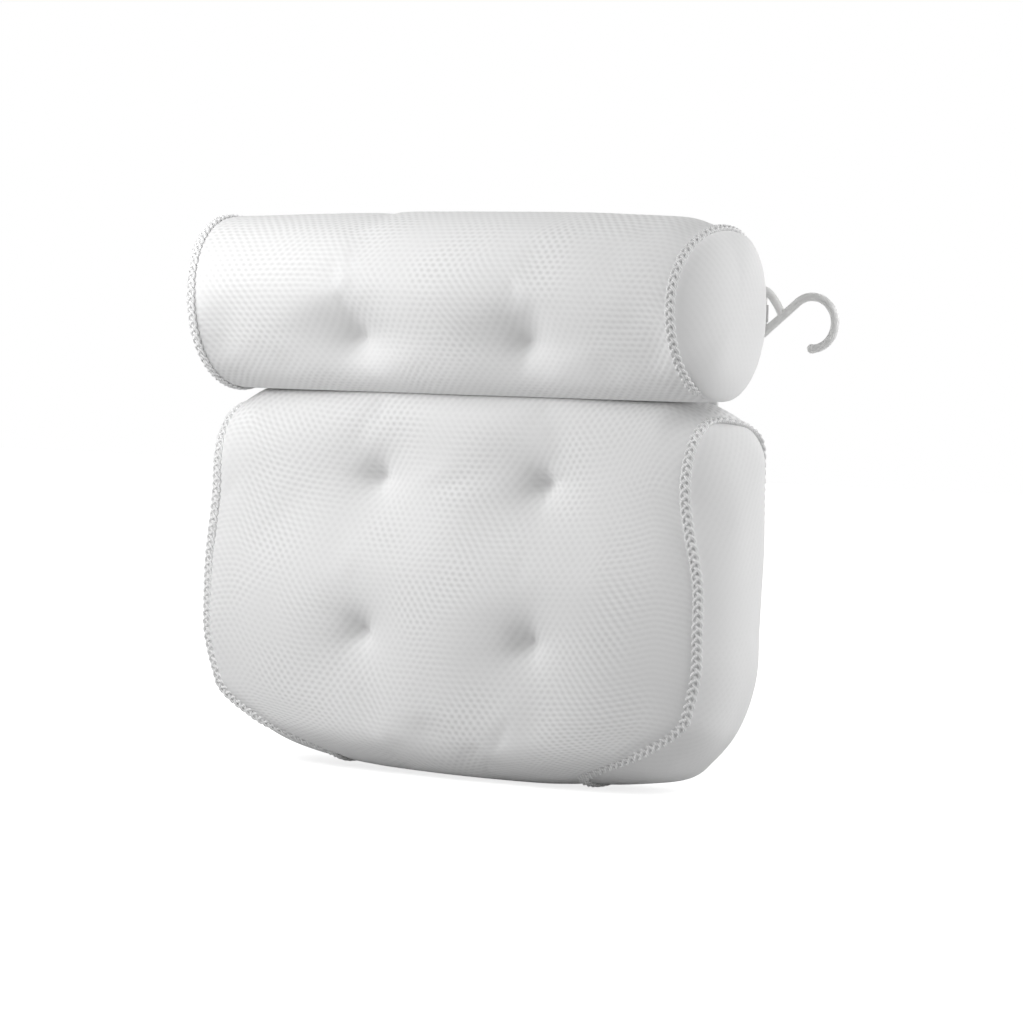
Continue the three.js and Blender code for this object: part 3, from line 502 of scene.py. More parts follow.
# The roll's ends swell over their seams below and behind.
def hidden(place):
    return max(ramp(place.y - roll["centre"][0], *roll["hiddenY"]),
               ramp(place.z - roll["centre"][1], *roll["hiddenZ"]))


# The roll: the strip round it, and the domed ends from the seam in to the middle.
def rollSkin():
    skin = Skin()
    alongs = [along for stretch, count in roll["counts"].items()
              for along in evenPlaces(roll, stretch, stretch + 1, count)] + [2]
    low, high = roll["heldRows"]
    rows, cloth = stripRows(skin, roll, alongs, lambda along: low < along < high)
    skin.grid(rows, cloth, 0)
    centreY, centreZ = roll["centre"]
    for side, column, way in ((2, -1, 1), (3, 0, -1)):
        rim = [row[column] for row in rows]
        middle = None
        capRows, capCloth = [], []
        for share in roll["endShares"]:
            line, onCloth = [], []
            for k, vert in enumerate(rim):
                edge = vert.co / mm
                rear = hidden(edge)
                full = 1 - share ** mix(roll["bulgePower"], roll["rearPower"], rear)
                x = mix(way * (roll["halfWidth"] + roll["endOut"]), edge.x, share ** 2)
                x += way * roll["bulge"] * full
                wide = share + (rear * roll["overhang"] * share ** 4
                                * ease((1 - share) / roll["overhangWide"]))
                place = Vector((x, mix(centreY, edge.y, wide), mix(centreZ, edge.z, wide)))
                onCloth.append((place.y, place.z))
                if share == 1:
                    line.append(vert)
                elif share == 0:
                    middle = middle or skin.point(place)
                    line.append(middle)
                elif k == len(rim) - 1:
                    line.append(line[0])
                else:
                    line.append(skin.point(place))
            capRows.append(line)
            capCloth.append(onCloth)
        skin.grid(capRows, capCloth, side, flip=side == 2)
    bmesh.ops.remove_doubles(skin.mesh, verts=skin.mesh.verts[:], dist=1e-6)
    skin.held = {v for v in skin.held if v.is_valid}
    return skin


reachTies(pad)
reachTies(roll)


def linked(name, data):
    obj = bpy.data.objects.new(name, data)
    bpy.context.scene.collection.objects.link(obj)
    return obj


def deselect():
    for other in bpy.context.selected_objects:
        other.select_set(False)


def editAll():
    bpy.ops.object.mode_set(mode="EDIT")
    bpy.ops.mesh.select_all(action="SELECT")


def smoothed(obj):
    for polygon in obj.data.polygons:
        polygon.use_smooth = True


def applied(obj, kind, **values):
    deselect()
    obj.select_set(True)
    bpy.context.view_layer.objects.active = obj
    modifier = obj.modifiers.new(kind.lower(), kind)
    for key, value in values.items():
        setattr(modifier, key, value)
    bpy.ops.object.modifier_apply(modifier=modifier.name)


def applyPlace():
    bpy.ops.object.transform_apply(location=True, rotation=True, scale=True)


# Swelling the skin as cloth over loose fibre. The seams, the tufts and the line where the
# cushions meet are held, no point moves further than the cap, and the moves are evened out.
swell = {
    "frames": 20, "cap": 2.0, "evening": 3,
    "cloth": {"quality": 6, "mass": 0.2, "tension_stiffness": 25, "compression_stiffness": 25,
              "shear_stiffness": 10, "bending_stiffness": 8, "use_pressure": True,
              "uniform_pressure_force": 3.0, "shrink_min": -0.004,
              "vertex_group_mass": "held", "pin_stiffness": 5},
}


def settleCloth(skin, name):
    mesh = bpy.data.meshes.new(name)
    bmesh.ops.recalc_face_normals(skin.mesh, faces=skin.mesh.faces[:])
    skin.mesh.verts.index_update()
    held = {v.index for v in skin.held}
    skin.mesh.to_mesh(mesh)
    obj = linked(name, mesh)
    smoothed(obj)
    group = obj.vertex_groups.new(name="held")
    group.add(list(held), 1, "REPLACE")
    before = [v.co.copy() for v in mesh.vertices]
    cloth = obj.modifiers.new("cloth", "CLOTH")
    for key, value in swell["cloth"].items():
        setattr(cloth.settings, key, value)
    cloth.settings.effector_weights.gravity = 0
    cloth.collision_settings.use_collision = False
    cloth.collision_settings.use_self_collision = False
    cloth.point_cache.frame_start = 1
    cloth.point_cache.frame_end = swell["frames"]
    for step in range(1, swell["frames"] + 1):
        bpy.context.scene.frame_set(step)
    evaluated = obj.evaluated_get(bpy.context.evaluated_depsgraph_get())
    moves = [new.co - old for old, new in zip(before, evaluated.data.vertices)]
    moves = [move.normalized() * swell["cap"] * mm if move.length > swell["cap"] * mm else move
             for move in moves]
    obj.modifiers.remove(cloth)
    obj.vertex_groups.remove(group)
    bpy.context.scene.frame_set(1)
    beside = [[] for _ in moves]
    for edge in mesh.edges:
        one, other = edge.vertices
        beside[one].append(other)
        beside[other].append(one)
    for _ in range(swell["evening"]):
        moves = [move if k in held else
                 (move + sum((moves[j] for j in beside[k]), Vector()) / len(beside[k])) / 2
                 for k, move in enumerate(moves)]
    for vert, old, move in zip(mesh.vertices, before, moves):
        vert.co = old + move
    furthest = max(move.length for move in moves)
    print(name, "swelled, furthest point by", round(furthest / mm, 2), "mm")
    return obj


# The part of a skin that belongs to one panel, as a piece of its own with its thickness.
def panelOf(obj, name, panel, thickness):
    mesh = obj.data.copy()
    piece = linked(name, mesh)
    made = bmesh.new()
    made.from_mesh(mesh)
    others = [f for f in made.faces if f.material_index != panel]
    bmesh.ops.delete(made, geom=others, context="FACES")
    for face in made.faces:
        face.material_index = 0
    made.to_mesh(mesh)
    made.free()
    applied(piece, "SUBSURF", levels=1, render_levels=1)
    applied(piece, "SOLIDIFY", thickness=thickness, offset=-1, use_even_offset=False)
    smoothed(piece)
    return piece


# A node tree, with short ways to add to it. An input takes a value, a socket or a node.
class Nodes:
    def __init__(self, tree):
        self.tree = tree

    def feed(self, target, value):
        if isinstance(value, bpy.types.NodeSocket):
            self.tree.links.new(value, target)
        elif isinstance(value, bpy.types.Node):
            self.tree.links.new(value.outputs[0], target)
        else:
            target.default_value = value

    def fill(self, node, **values):
        for key, value in values.items():
            self.feed(node.inputs[key.replace("_", " ")], value)

    def add(self, kind, inputs=None, **settings):
        node = self.tree.nodes.new(kind)
        for key, value in settings.items():
            setattr(node, key, value)
        for key, value in (inputs or {}).items():
            self.feed(node.inputs[key], value)
        return node

    def math(self, operation, a, b=0.0, c=0.0):
        return self.add("ShaderNodeMath", {0: a, 1: b, 2: c}, operation=operation).outputs[0]

    def times(self, a, b):
        return self.math("MULTIPLY", a, b)

    def timesPlus(self, a, b, c):
        return self.math("MULTIPLY_ADD", a, b, c)

    def vector(self, operation, a, b):
        return self.add("ShaderNodeVectorMath", {0: a, 1: b}, operation=operation).outputs[0]

    def mapRange(self, value, low, high, toLow=0.0, toHigh=1.0, kind="SMOOTHSTEP"):
        node = self.add("ShaderNodeMapRange", {
            "Value": value, "From Min": low, "From Max": high, "To Min": toLow,
            "To Max": toHigh}, interpolation_type=kind)
        return node.outputs[0]

    def noise(self, place, scale, detail, roughness=0.5):
        return self.add("ShaderNodeTexNoise", {"Vector": place, "Scale": scale, "Detail": detail,
                                               "Roughness": roughness}).outputs

    def bands(self, place, scale, distortion, direction):
        return self.add("ShaderNodeTexWave", {
            "Vector": place, "Scale": scale, "Distortion": distortion, "Detail": 1.0},
            wave_type="BANDS", bands_direction=direction).outputs["Fac"]

    def bump(self, height, strength, distance):
        return self.add("ShaderNodeBump", {"Strength": strength, "Distance": distance * mm,
                                           "Height": height})

    # What the camera sees straight, in a gloss or through clear plastic
    def inView(self):
        rays = self.add("ShaderNodeLightPath").outputs
        return self.math("MAXIMUM", rays["Is Camera Ray"],
                         self.math("MAXIMUM", rays["Is Glossy Ray"],
                                   rays["Is Transmission Ray"]))


def newGroup(name, inputs, outputs):
    group = bpy.data.node_groups.new(name, "ShaderNodeTree")
    for label, value in inputs.items():
        kind = "NodeSocketVector" if value is None else "NodeSocketFloat"
        made = group.interface.new_socket(name=label, in_out="INPUT", socket_type=kind)
        if value is not None:
            made.default_value = value
    for label in outputs:
        group.interface.new_socket(name=label, in_out="OUTPUT", socket_type="NodeSocketFloat")
    n = Nodes(group)
    return group, n, n.add("NodeGroupInput").outputs


# Air mesh: staggered rows of small holes, as three waves that cross. Where the cloth is pulled
# or drawn into ribs, one wave is left.
def makeMeshWeave():
    group, n, given = newGroup("meshWeave", {
        "Cloth": None, "Pitch Across": 5.46 * mm, "Pitch Along": 3.66 * mm, "Pulled": 0.0,
        "Upright": 0.0, "Level": 0.0, "Drift": 0.5 * mm}, ("Hole", "Height", "Shade"))
    cloth = given["Cloth"]
    centred = n.vector("SUBTRACT", n.noise(cloth, 45.0, 2.0)["Color"], (0.5, 0.5, 0.5))
    moved = n.add("ShaderNodeVectorMath", {0: centred, "Scale": n.times(given["Drift"], 4.0)},
                  operation="SCALE")
    xyz = n.add("ShaderNodeSeparateXYZ", {0: n.vector("ADD", cloth, moved)})
    across = n.times(n.math("DIVIDE", xyz.outputs[0], given["Pitch Across"]), 2 * math.pi)
    along = n.times(n.math("DIVIDE", xyz.outputs[1], given["Pitch Along"]), math.pi)
    tone = n.add("ShaderNodeSeparateColor", {0: n.noise(cloth, 22.0, 1.0)["Color"]}).outputs
    steep = n.math("MAXIMUM", n.times(given["Pulled"], 0.8), n.times(given["Upright"], 0.7))
    ribbed = n.math("MAXIMUM", n.math("MAXIMUM", steep, given["Pulled"]), given["Level"])
    steady = n.timesPlus(ribbed, -0.85, 1.0)
    rows = n.times(n.math("COSINE", n.times(along, 2.0)),
                   n.times(n.mapRange(tone[0], 0.35, 0.65, 0.55, 1.15),
                           n.timesPlus(given["Level"], 0.35, steady)))
    left = n.times(n.math("COSINE", n.math("SUBTRACT", across, along)),
                   n.times(n.mapRange(tone[1], 0.35, 0.65, 0.45, 1.15), steady))
    right = n.times(n.math("COSINE", n.math("ADD", across, along)),
                    n.timesPlus(n.mapRange(tone[2], 0.35, 0.65, 0.1, 0.9), steady, steep))
    waves = n.math("ADD", n.math("ADD", rows, left), right)
    calm = n.noise(cloth, 13.0, 1.0)["Fac"]
    waves = n.times(waves, n.mapRange(calm, 0.36, 0.56, 0.45, 1.0))
    fine = n.math("SUBTRACT", n.noise(cloth, 900.0, 2.0, 0.6)["Fac"], 0.5)
    shade = n.mapRange(waves, -1.5, 2.6, 1.0, 0.0, kind="LINEAR")
    n.fill(n.add("NodeGroupOutput"), Hole=n.mapRange(waves, -0.2, 2.6),
           Height=n.timesPlus(fine, 0.5, n.times(waves, -0.33)),
           Shade=n.timesPlus(fine, 0.2, shade))
    return group


# Twisted yarn: a fine slanted ply over the thread, with a soft fuzz.
def makeYarnTwist():
    group, n, given = newGroup("yarnTwist", {"Place": None, "Scale": 900.0},
                               ("Height", "Shade"))
    ply = n.bands(given["Place"], n.times(given["Scale"], 0.35), 2.0, "DIAGONAL")
    fuzz = n.noise(given["Place"], given["Scale"], 2.0)["Fac"]
    height = n.timesPlus(fuzz, 0.6, n.times(ply, 0.5))
    n.fill(n.add("NodeGroupOutput"), Height=height, Shade=n.mapRange(height, 0.2, 0.9))
    return group


# Moulded plastic: faint unevenness and scattered duller, rougher patches of wear.
def makeMouldedSkin():
    group, n, given = newGroup("mouldedSkin", {"Place": None, "Scale": 120.0},
                               ("Height", "Wear"))
    broad = n.noise(given["Place"], given["Scale"], 2.0)["Fac"]
    grain = n.noise(given["Place"], n.times(given["Scale"], 14.0), 3.0)["Fac"]
    n.fill(n.add("NodeGroupOutput"), Height=n.timesPlus(grain, 0.25, broad),
           Wear=n.mapRange(grain, 0.45, 0.75))
    return group


def newMaterial(name):
    material = bpy.data.materials.new(name)
    material.use_nodes = True
    n = Nodes(material.node_tree)
    shader = next(x for x in material.node_tree.nodes if x.type == "BSDF_PRINCIPLED")
    return material, n, shader


# A number for a colour is a grey.
def colourBetween(n, share, low, high):
    node = n.add("ShaderNodeMix", data_type="RGBA")
    n.feed(node.inputs[0], share)
    for k, colour in ((6, low), (7, high)):
        n.feed(node.inputs[k], (*(colour if isinstance(colour, tuple) else [colour] * 3), 1.0))
    return node.outputs[2]


fabricLook = {"light": 0.82, "hole": 0.66, "bump": 0.26}
panelLook = {"light": 0.77, "hole": 0.735, "bump": 0.1, "pulled": 0.8}


def meshFabric(name, look):
    material, n, shader = newMaterial(name)
    weave = n.add("ShaderNodeGroup", node_tree=meshWeave)
    n.fill(weave, Cloth=n.add("ShaderNodeUVMap", uv_map="cloth"))
    if "pulled" in look:
        n.fill(weave, Pulled=look["pulled"])
    else:
        for label in ("Pulled", "Upright", "Level"):
            mask = n.add("ShaderNodeAttribute", attribute_name=label.lower())
            n.feed(weave.inputs[label], mask.outputs["Fac"])
    share = n.mapRange(weave.outputs["Shade"], 0.0, 1.0, kind="LINEAR")
    n.fill(shader, Base_Color=colourBetween(n, share, look["hole"], look["light"]),
           Normal=n.bump(weave.outputs["Height"], look["bump"], 0.6),
           Roughness=n.mapRange(weave.outputs["Hole"], 0.0, 1.0, 0.86, 0.97, kind="LINEAR"),
           Sheen_Weight=0.12, Sheen_Roughness=0.5)
    return material


def yarnMaterial(name, dark, light):
    material, n, shader = newMaterial(name)
    twist = n.add("ShaderNodeGroup", node_tree=yarnTwist)
    n.fill(twist, Place=n.add("ShaderNodeTexCoord").outputs["Object"])
    n.fill(shader, Base_Color=colourBetween(n, twist.outputs["Shade"], dark, light),
           Normal=n.bump(twist.outputs["Height"], 0.35, 0.25),
           Roughness=n.mapRange(twist.outputs["Shade"], 0, 1, 0.92, 0.8), Sheen_Weight=0.1)
    return material


def plasticMaterial(name, dull, clean, roughness, clear):
    material, n, shader = newMaterial(name)
    skin = n.add("ShaderNodeGroup", node_tree=mouldedSkin)
    n.fill(skin, Place=n.add("ShaderNodeTexCoord").outputs["Object"])
    wear = skin.outputs["Wear"]
    n.fill(shader, Base_Color=colourBetween(n, wear, clean, dull),
           Roughness=n.mapRange(wear, 0, 1, roughness, roughness + 0.12),
           Normal=n.bump(skin.outputs["Height"], 0.12, 0.3), Transmission_Weight=clear, IOR=1.52)
    return material


def webbingMaterial(name, dark, light):
    material, n, shader = newMaterial(name)
    place = n.add("ShaderNodeTexCoord").outputs["Object"]
    weave = n.times(n.bands(place, 260.0, 0.6, "Z"), n.bands(place, 340.0, 0.4, "X"))
    n.fill(shader, Base_Color=colourBetween(n, weave, dark, light),
           Normal=n.bump(weave, 0.5, 0.3), Roughness=n.mapRange(weave, 0, 1, 0.9, 0.75))
    return material


meshWeave = makeMeshWeave()
yarnTwist = makeYarnTwist()
mouldedSkin = makeMouldedSkin()
airMesh = meshFabric("airMesh", fabricLook)
panelMesh = meshFabric("panelMesh", panelLook)
edgingYarn = yarnMaterial("edgingYarn", 0.70, 0.88)
# The edging's ridge is a darker grey than its strands: painted shade in the gaps between the
# strands.
edgingBasePaintedShade = yarnMaterial("edgingBasePaintedShade", 0.58, 0.70)
tieYarn = yarnMaterial("tieYarn", 0.55, 0.74)
clearPlastic = plasticMaterial("clearPlastic", (0.86, 0.88, 0.89), (0.93, 0.95, 0.96),
                               roughness=0.14, clear=0.75)
whitePlastic = plasticMaterial("whitePlastic", (0.82, 0.82, 0.81), (0.90, 0.90, 0.89),
                               roughness=0.28, clear=0.3)
webbing = webbingMaterial("webbing", 0.74, 0.88)
print("materials made")


def dress(obj, material):
    obj.data.materials.clear()
    obj.data.materials.append(material)


eyeletHole = {"radius": 5.5, "y": -15.5, "depth": 14, "segments": 32}


# Holes for the eyelets in a back panel.
def eyeletHoles(piece, places):
    for x, z in places:
        deselect()
        bpy.ops.mesh.primitive_cylinder_add(
            vertices=eyeletHole["segments"], radius=eyeletHole["radius"] * mm,
            depth=eyeletHole["depth"] * mm, location=(x * mm, eyeletHole["y"] * mm, z * mm),
            rotation=(math.pi / 2, 0, 0))
        cutter = bpy.context.object
        applied(piece, "BOOLEAN", operation="DIFFERENCE", object=cutter, solver="EXACT")
        bpy.data.objects.remove(cutter)


fabricWall = 2.6 * mm
padWhole = settleCloth(padSkin(), "padWhole")
rollWhole = settleCloth(rollSkin(), "rollWhole")
panels = [
    (padWhole, "padCover", 0, "pad", ["pad_cover", "pad_filling"], airMesh),
    (padWhole, "padBackPanel", 1, "pad", ["pad_back_panel"], airMesh),
    (padWhole, "padSideRight", 2, "pad", ["pad_side_right"], panelMesh),
    (padWhole, "padSideLeft", 3, "pad", ["pad_side_left"], panelMesh),
    (rollWhole, "rollCover", 0, "roll", ["roll_cover", "roll_filling"], airMesh),
    (rollWhole, "rollEndRight", 2, "roll", ["roll_end_right"], panelMesh),
    (rollWhole, "rollEndLeft", 3, "roll", ["roll_end_left"], panelMesh),
]
holesIn = {"padBackPanel": pad["tufts"], "rollCover": roll["tufts"]}
for whole, name, index, body, nodes, material in panels:
    piece = panelOf(whole, name, index, fabricWall)
    eyeletHoles(piece, holesIn.get(name, []))
    dress(piece, material)
    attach(piece, body)
    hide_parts(*nodes)
bpy.data.objects.remove(padWhole)
bpy.data.objects.remove(rollWhole)
print("cushions made")


# Plaited edging: three strands of yarn plaited flat over a low ridge on the seam. It lies
# deeper between the fabrics under the roll's right end and on the pad's nape.
edging = {"period": 15.6, "strand": 1.03, "flat": 0.85, "over": 0.5, "stand": 1.5, "dip": 0.8,
          "ridgeHigh": 1.5, "ridgeIn": 0.2, "lean": 0.15, "rings": 12, "sides": 8, "run": 2,
          "half": {"pad": 3.0, "roll": 2.6}, "middle": {"pad": (-58, -18), "roll": roll["centre"]},
          "rollSunk": 3.2, "rollSunkZ": (115, 107),
          "padSunk": 1.2, "padSunkZ": (82, 92), "padSunkY": (-58, -46)}


def seamLoop(shape, way):
    fine = 1200
    stretches = (1, 2, 4, 5) if shape is roll else range(6)
    each = fine // len(stretches)
    points = [seamPoint(shape, s + k / each, way) for s in stretches for k in range(each)]
    kept = [p for i, p in enumerate(points) if (p - points[i - 1]).length > 1e-6]
    lengths = [0]
    for a, b in zip(kept, kept[1:] + kept[:1]):
        lengths.append(lengths[-1] + (b - a).length)
    return kept, lengths


def alongLoop(points, lengths, distance):
    distance %= lengths[-1]
    low, high = 0, len(lengths) - 1
    while high - low > 1:
        half = (low + high) // 2
        if lengths[half] <= distance:
            low = half
        else:
            high = half
    part = (distance - lengths[low]) / (lengths[low + 1] - lengths[low])
    return points[low].lerp(points[(low + 1) % len(points)], part)


# A tube through rings of places, closed to a loop
def closedTube(made, ringPlaces, panel):
    sides = edging["sides"]
    rings = [[made.verts.new(p * mm) for p in ring] for ring in ringPlaces]
    for k, ring in enumerate(rings):
        after = rings[(k + 1) % len(rings)]
        for s in range(sides):
            t = (s + 1) % sides
            face = made.faces.new((ring[s], ring[t], after[t], after[s]))
            face.material_index = panel


def sunk(shape, way, here):
    if way < 0:
        return 0
    if shape is roll:
        return edging["rollSunk"] * ramp(here.z, *edging["rollSunkZ"])
    return (edging["padSunk"] * ramp(here.z, *edging["padSunkZ"])
            * ramp(here.y, *edging["padSunkY"]))


def edgingPiece(shape, way, name, body, node):
    points, lengths = seamLoop(shape, way)
    half, middle = edging["half"][body], Vector((0, *edging["middle"][body]))
    total = lengths[-1]
    periods = round(total / edging["period"])
    made = bmesh.new()

    def frameAt(distance):
        here = alongLoop(points, lengths, distance)
        run = (alongLoop(points, lengths, distance + edging["run"])
               - alongLoop(points, lengths, distance - edging["run"])).normalized()
        cover = run.cross(Vector((1, 0, 0))).normalized()
        if cover.dot(here - middle) < 0:
            cover = -cover
        side = run.cross(cover).normalized()
        if side.dot(here - middle) < 0:
            side = -side
        lean = edging["lean"]
        out = (math.cos(lean) * cover + math.sin(lean) * side).normalized()
        across = (math.cos(lean) * side - math.sin(lean) * cover).normalized()
        return here - out * sunk(shape, way, here), out, across
    count = periods * edging["rings"]
    frames = [frameAt(total * k / count) for k in range(count)]
    turns = [2 * math.pi * s / edging["sides"] for s in range(edging["sides"])]
    # The low ridge under the strands takes the darker grey that paints the shade in their gaps.
    closedTube(made, [[here + (half - edging["ridgeIn"]) * math.cos(a) * across
                       + edging["ridgeHigh"] * math.sin(a) * out for a in turns]
                      for here, out, across in frames], 1)
    for strand in range(3):
        centres = []
        for k, (here, out, across) in enumerate(frames):
            phase = 2 * math.pi * (periods * k / count + strand / 3)
            centres.append(here + across * half * math.sin(phase)
                           + out * (edging["stand"] + edging["over"] * math.sin(2 * phase)
                                    - edging["dip"] * math.sin(phase) ** 2))
        rings = []
        for k, centre in enumerate(centres):
            run = (centres[(k + 1) % count] - centres[k - 1]).normalized()
            side = run.cross(frames[k][1]).normalized()
            up = side.cross(run).normalized()
            rings.append([centre + edging["strand"] * (math.cos(a) * side
                                                       + edging["flat"] * math.sin(a) * up)
                          for a in turns])
        closedTube(made, rings, 0)
    bmesh.ops.recalc_face_normals(made, faces=made.faces[:])
    mesh = bpy.data.meshes.new(name)
    made.to_mesh(mesh)
    made.free()
    piece = linked(name, mesh)
    smoothed(piece)
    mesh.materials.append(edgingYarn)
    mesh.materials.append(edgingBasePaintedShade)
    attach(piece, body)
    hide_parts(node)


for shape, way, name, body, node in (
        (pad, 1, "padEdgingRight", "pad", "pad_edging_right"),
        (pad, -1, "padEdgingLeft", "pad", "pad_edging_left"),
        (roll, 1, "rollEdgingRight", "roll", "roll_edging_right"),
        (roll, -1, "rollEdgingLeft", "roll", "roll_edging_left")):
    edgingPiece(shape, way, name, body, node)
print("edgings made")


# A turned piece: a ring drawn out step by step through a profile of radius and place along y.
def turnedPiece(name, profile, segments, closed=False):
    deselect()
    radius, y = profile[0]
    bpy.ops.mesh.primitive_circle_add(vertices=segments, radius=radius * mm,
                                      fill_type="NOTHING" if closed else "NGON",
                                      location=(0, y * mm, 0), rotation=(math.pi / 2, 0, 0))
    piece = bpy.context.object
    piece.name = name
    applyPlace()
    editAll()
    extrude = (bpy.ops.mesh.extrude_edges_move if closed else
               bpy.ops.mesh.extrude_region_move)
    for before, after in zip(profile, profile[1:]):
        grow = after[0] / before[0]
        extrude(TRANSFORM_OT_translate={"value": (0, (after[1] - before[1]) * mm, 0)})
        bpy.ops.transform.resize(value=(grow, 1, grow), center_override=(0, after[1] * mm, 0))
    bpy.ops.mesh.select_all(action="SELECT")
    bpy.ops.mesh.remove_doubles(threshold=1e-6)
    bpy.ops.mesh.normals_make_consistent(inside=False)
    bpy.ops.object.mode_set(mode="OBJECT")
    bpy.ops.object.shade_smooth_by_angle(angle=math.radians(40))
    return piece


def copyAt(first, name, x, z):
    mesh = first.data.copy()
    mesh.transform(Matrix.Translation((x * mm, 0, z * mm)))
    return linked(name, mesh)


cup = {
    "profile": [(0.6, -6.5), (6, -6.2), (12, -5.1), (18, -3.2), (23, -1.2), (25.5, -0.05),
                (27.2, 0), (27.9, -0.3), (28, -0.8), (27.4, -1.3), (24, -2.7), (19, -4.9),
                (14, -7.0), (10, -8.4), (8.2, -9.3), (7.8, -10.3), (6.4, -11.7), (4.6, -12.2),
                (3.4, -12.3), (3.4, -20.2), (6.2, -20.25), (6.5, -20.8), (6.5, -22.2),
                (5.6, -23.0), (3.6, -23.5), (1.2, -23.6)],
    "segments": 48,
}
eyelet = {
    "profile": [(3.95, -12.7), (5.4, -12.65), (7.6, -12.75), (8.8, -13.0), (9.0, -13.4),
                (8.9, -13.7), (5.3, -13.75), (5.2, -18.7), (6.8, -18.75), (7.0, -19.1),
                (6.8, -19.6), (4.2, -19.6), (3.9, -19.4), (3.9, -13.1), (3.95, -12.7)],
    "segments": 40,
}

firstCup = turnedPiece("firstCup", cup["profile"], cup["segments"])
firstRing = turnedPiece("firstRing", eyelet["profile"], eyelet["segments"], closed=True)
for name, shape, x, z in tuftPlaces:
    body = name.split("_")[0]
    cupPiece = copyAt(firstCup, "suctionCup_" + name, x, z)
    dress(cupPiece, clearPlastic)
    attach(cupPiece, "cup_" + name)
    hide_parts("suction_cup_" + name)
    ring = copyAt(firstRing, "eyelet_" + name + "_ring", x, z)
    dress(ring, whitePlastic)
    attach(ring, body)
    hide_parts("eyelet_" + name)
    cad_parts["washer_" + name].data.materials.clear()
    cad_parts["washer_" + name].data.materials.append(whitePlastic)
for first in (firstCup, firstRing):
    bpy.data.objects.remove(first)
print("cups made")

# One stitch across the bottom of each tuft.
stitch = {"radius": 0.8, "stretch": (3.0, 0.9, 1.0), "out": 0.1}
for name, shape, x, z in tuftPlaces:
    body = name.split("_")[0]
    deselect()
    headY = (shape["bottoms"][(x, z)] - stitch["out"]) * mm
    bpy.ops.mesh.primitive_uv_sphere_add(segments=12, ring_count=8,
                                         radius=stitch["radius"] * mm,
                                         location=(x * mm, headY, z * mm))
    piece = bpy.context.object
    piece.name = "tuftStitch_" + name
    editAll()
    bpy.ops.transform.resize(value=stitch["stretch"])
    bpy.ops.object.mode_set(mode="OBJECT")
    applyPlace()
    smoothed(piece)
    dress(piece, tieYarn)
    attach(piece, body)
    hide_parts("tuft_tie_" + name)
print("tuft stitches made")

# Hinge strip: one layer of fabric sewn flat on the two backs, made as a flat sheet across the gap
# between them.
strip = {"width": 300, "low": 75, "high": 131.5, "y": -12.5, "thickness": 2.2, "cuts": 39}
deselect()
middleZ = (strip["low"] + strip["high"]) / 2
bpy.ops.mesh.primitive_plane_add(size=1, location=(0, strip["y"] * mm, middleZ * mm),
                                 rotation=(math.pi / 2, 0, 0))
hingeStrip = bpy.context.object
hingeStrip.name = "hingeStrip"
hingeStrip.scale = (strip["width"] * mm, (strip["high"] - strip["low"]) * mm, 1)
applyPlace()
editAll()
bpy.ops.mesh.subdivide(number_cuts=strip["cuts"])
bpy.ops.object.mode_set(mode="OBJECT")
stripUv = hingeStrip.data.uv_layers.active
stripUv.name = "cloth"
for loop in hingeStrip.data.loops:
    place = hingeStrip.data.vertices[loop.vertex_index].co
    stripUv.data[loop.index].uv = (place.x, place.z)
applied(hingeStrip, "SOLIDIFY", thickness=strip["thickness"] * mm, offset=0)
smoothed(hingeStrip)
dress(hingeStrip, airMesh)
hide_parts("hinge_strip")
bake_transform(hingeStrip)
print("hinge strip made")

# Drying hook: wires of one round section, joined and fused as they are in the mould.
hook = {"x": 179.5, "y": -9.2, "z": 162.1, "wire": 2.75, "tip": 3.1, "barHalf": 14,
        "eyeReach": 14, "eyeRound": 6, "eyeDrop": 1.6, "eyeSteps": 12, "bend": 16.4,
        "bendReach": 35.4, "bendDrop": 6, "bendSteps": 40, "tipAngle": -89, "sides": 20,
        "voxel": 0.35, "smooth": 0.6, "smoothings": 6}
hookOrigin = Vector((hook["x"], hook["y"], hook["z"]))


def wirePoints():
    low, high = (Vector((0, 0, way * hook["barHalf"])) for way in (-1, 1))
    centre = Vector((hook["bendReach"], 0, -hook["bendDrop"]))
    toCentre = centre - low
    aim = math.atan2(toCentre.z, toCentre.x) + math.asin(hook["bend"] / toCentre.length)
    start, end = aim + math.pi / 2, math.radians(hook["tipAngle"])
    bend = [mix(start, end, k / hook["bendSteps"]) for k in range(hook["bendSteps"] + 1)]
    curve = [centre + hook["bend"] * Vector((math.cos(a), 0, math.sin(a))) for a in bend]
    apex = Vector((hook["eyeReach"], 0, -hook["eyeDrop"]))
    corner = Vector((hook["eyeRound"], 0, hook["barHalf"]))
    leg = [high.lerp(corner, t).lerp(corner.lerp(apex, t), t)
           for t in (k / hook["eyeSteps"] for k in range(hook["eyeSteps"] + 1))]
    return [low] + curve, [low, high], leg


def wire(points):
    deselect()
    points = [(hookOrigin + p) * mm for p in points]
    run = points[1] - points[0]
    bpy.ops.mesh.primitive_circle_add(vertices=hook["sides"], radius=hook["wire"] * mm,
                                      fill_type="NGON", location=points[0],
                                      rotation=run.to_track_quat("Z", "Y").to_euler())
    piece = bpy.context.object
    run.normalize()
    applyPlace()
    editAll()
    for k in range(1, len(points)):
        step = points[k] - points[k - 1]
        aim = step.normalized()
        if k + 1 < len(points):
            aim = (aim + (points[k + 1] - points[k]).normalized()).normalized()
        bpy.ops.mesh.extrude_region_move(TRANSFORM_OT_translate={"value": step})
        angle = math.atan2(run.z, run.x) - math.atan2(aim.z, aim.x)
        if abs(angle) > 1e-5:
            bpy.ops.transform.rotate(value=-angle, orient_axis="Y", center_override=points[k])
        run = aim
    bpy.ops.object.mode_set(mode="OBJECT")
    return piece


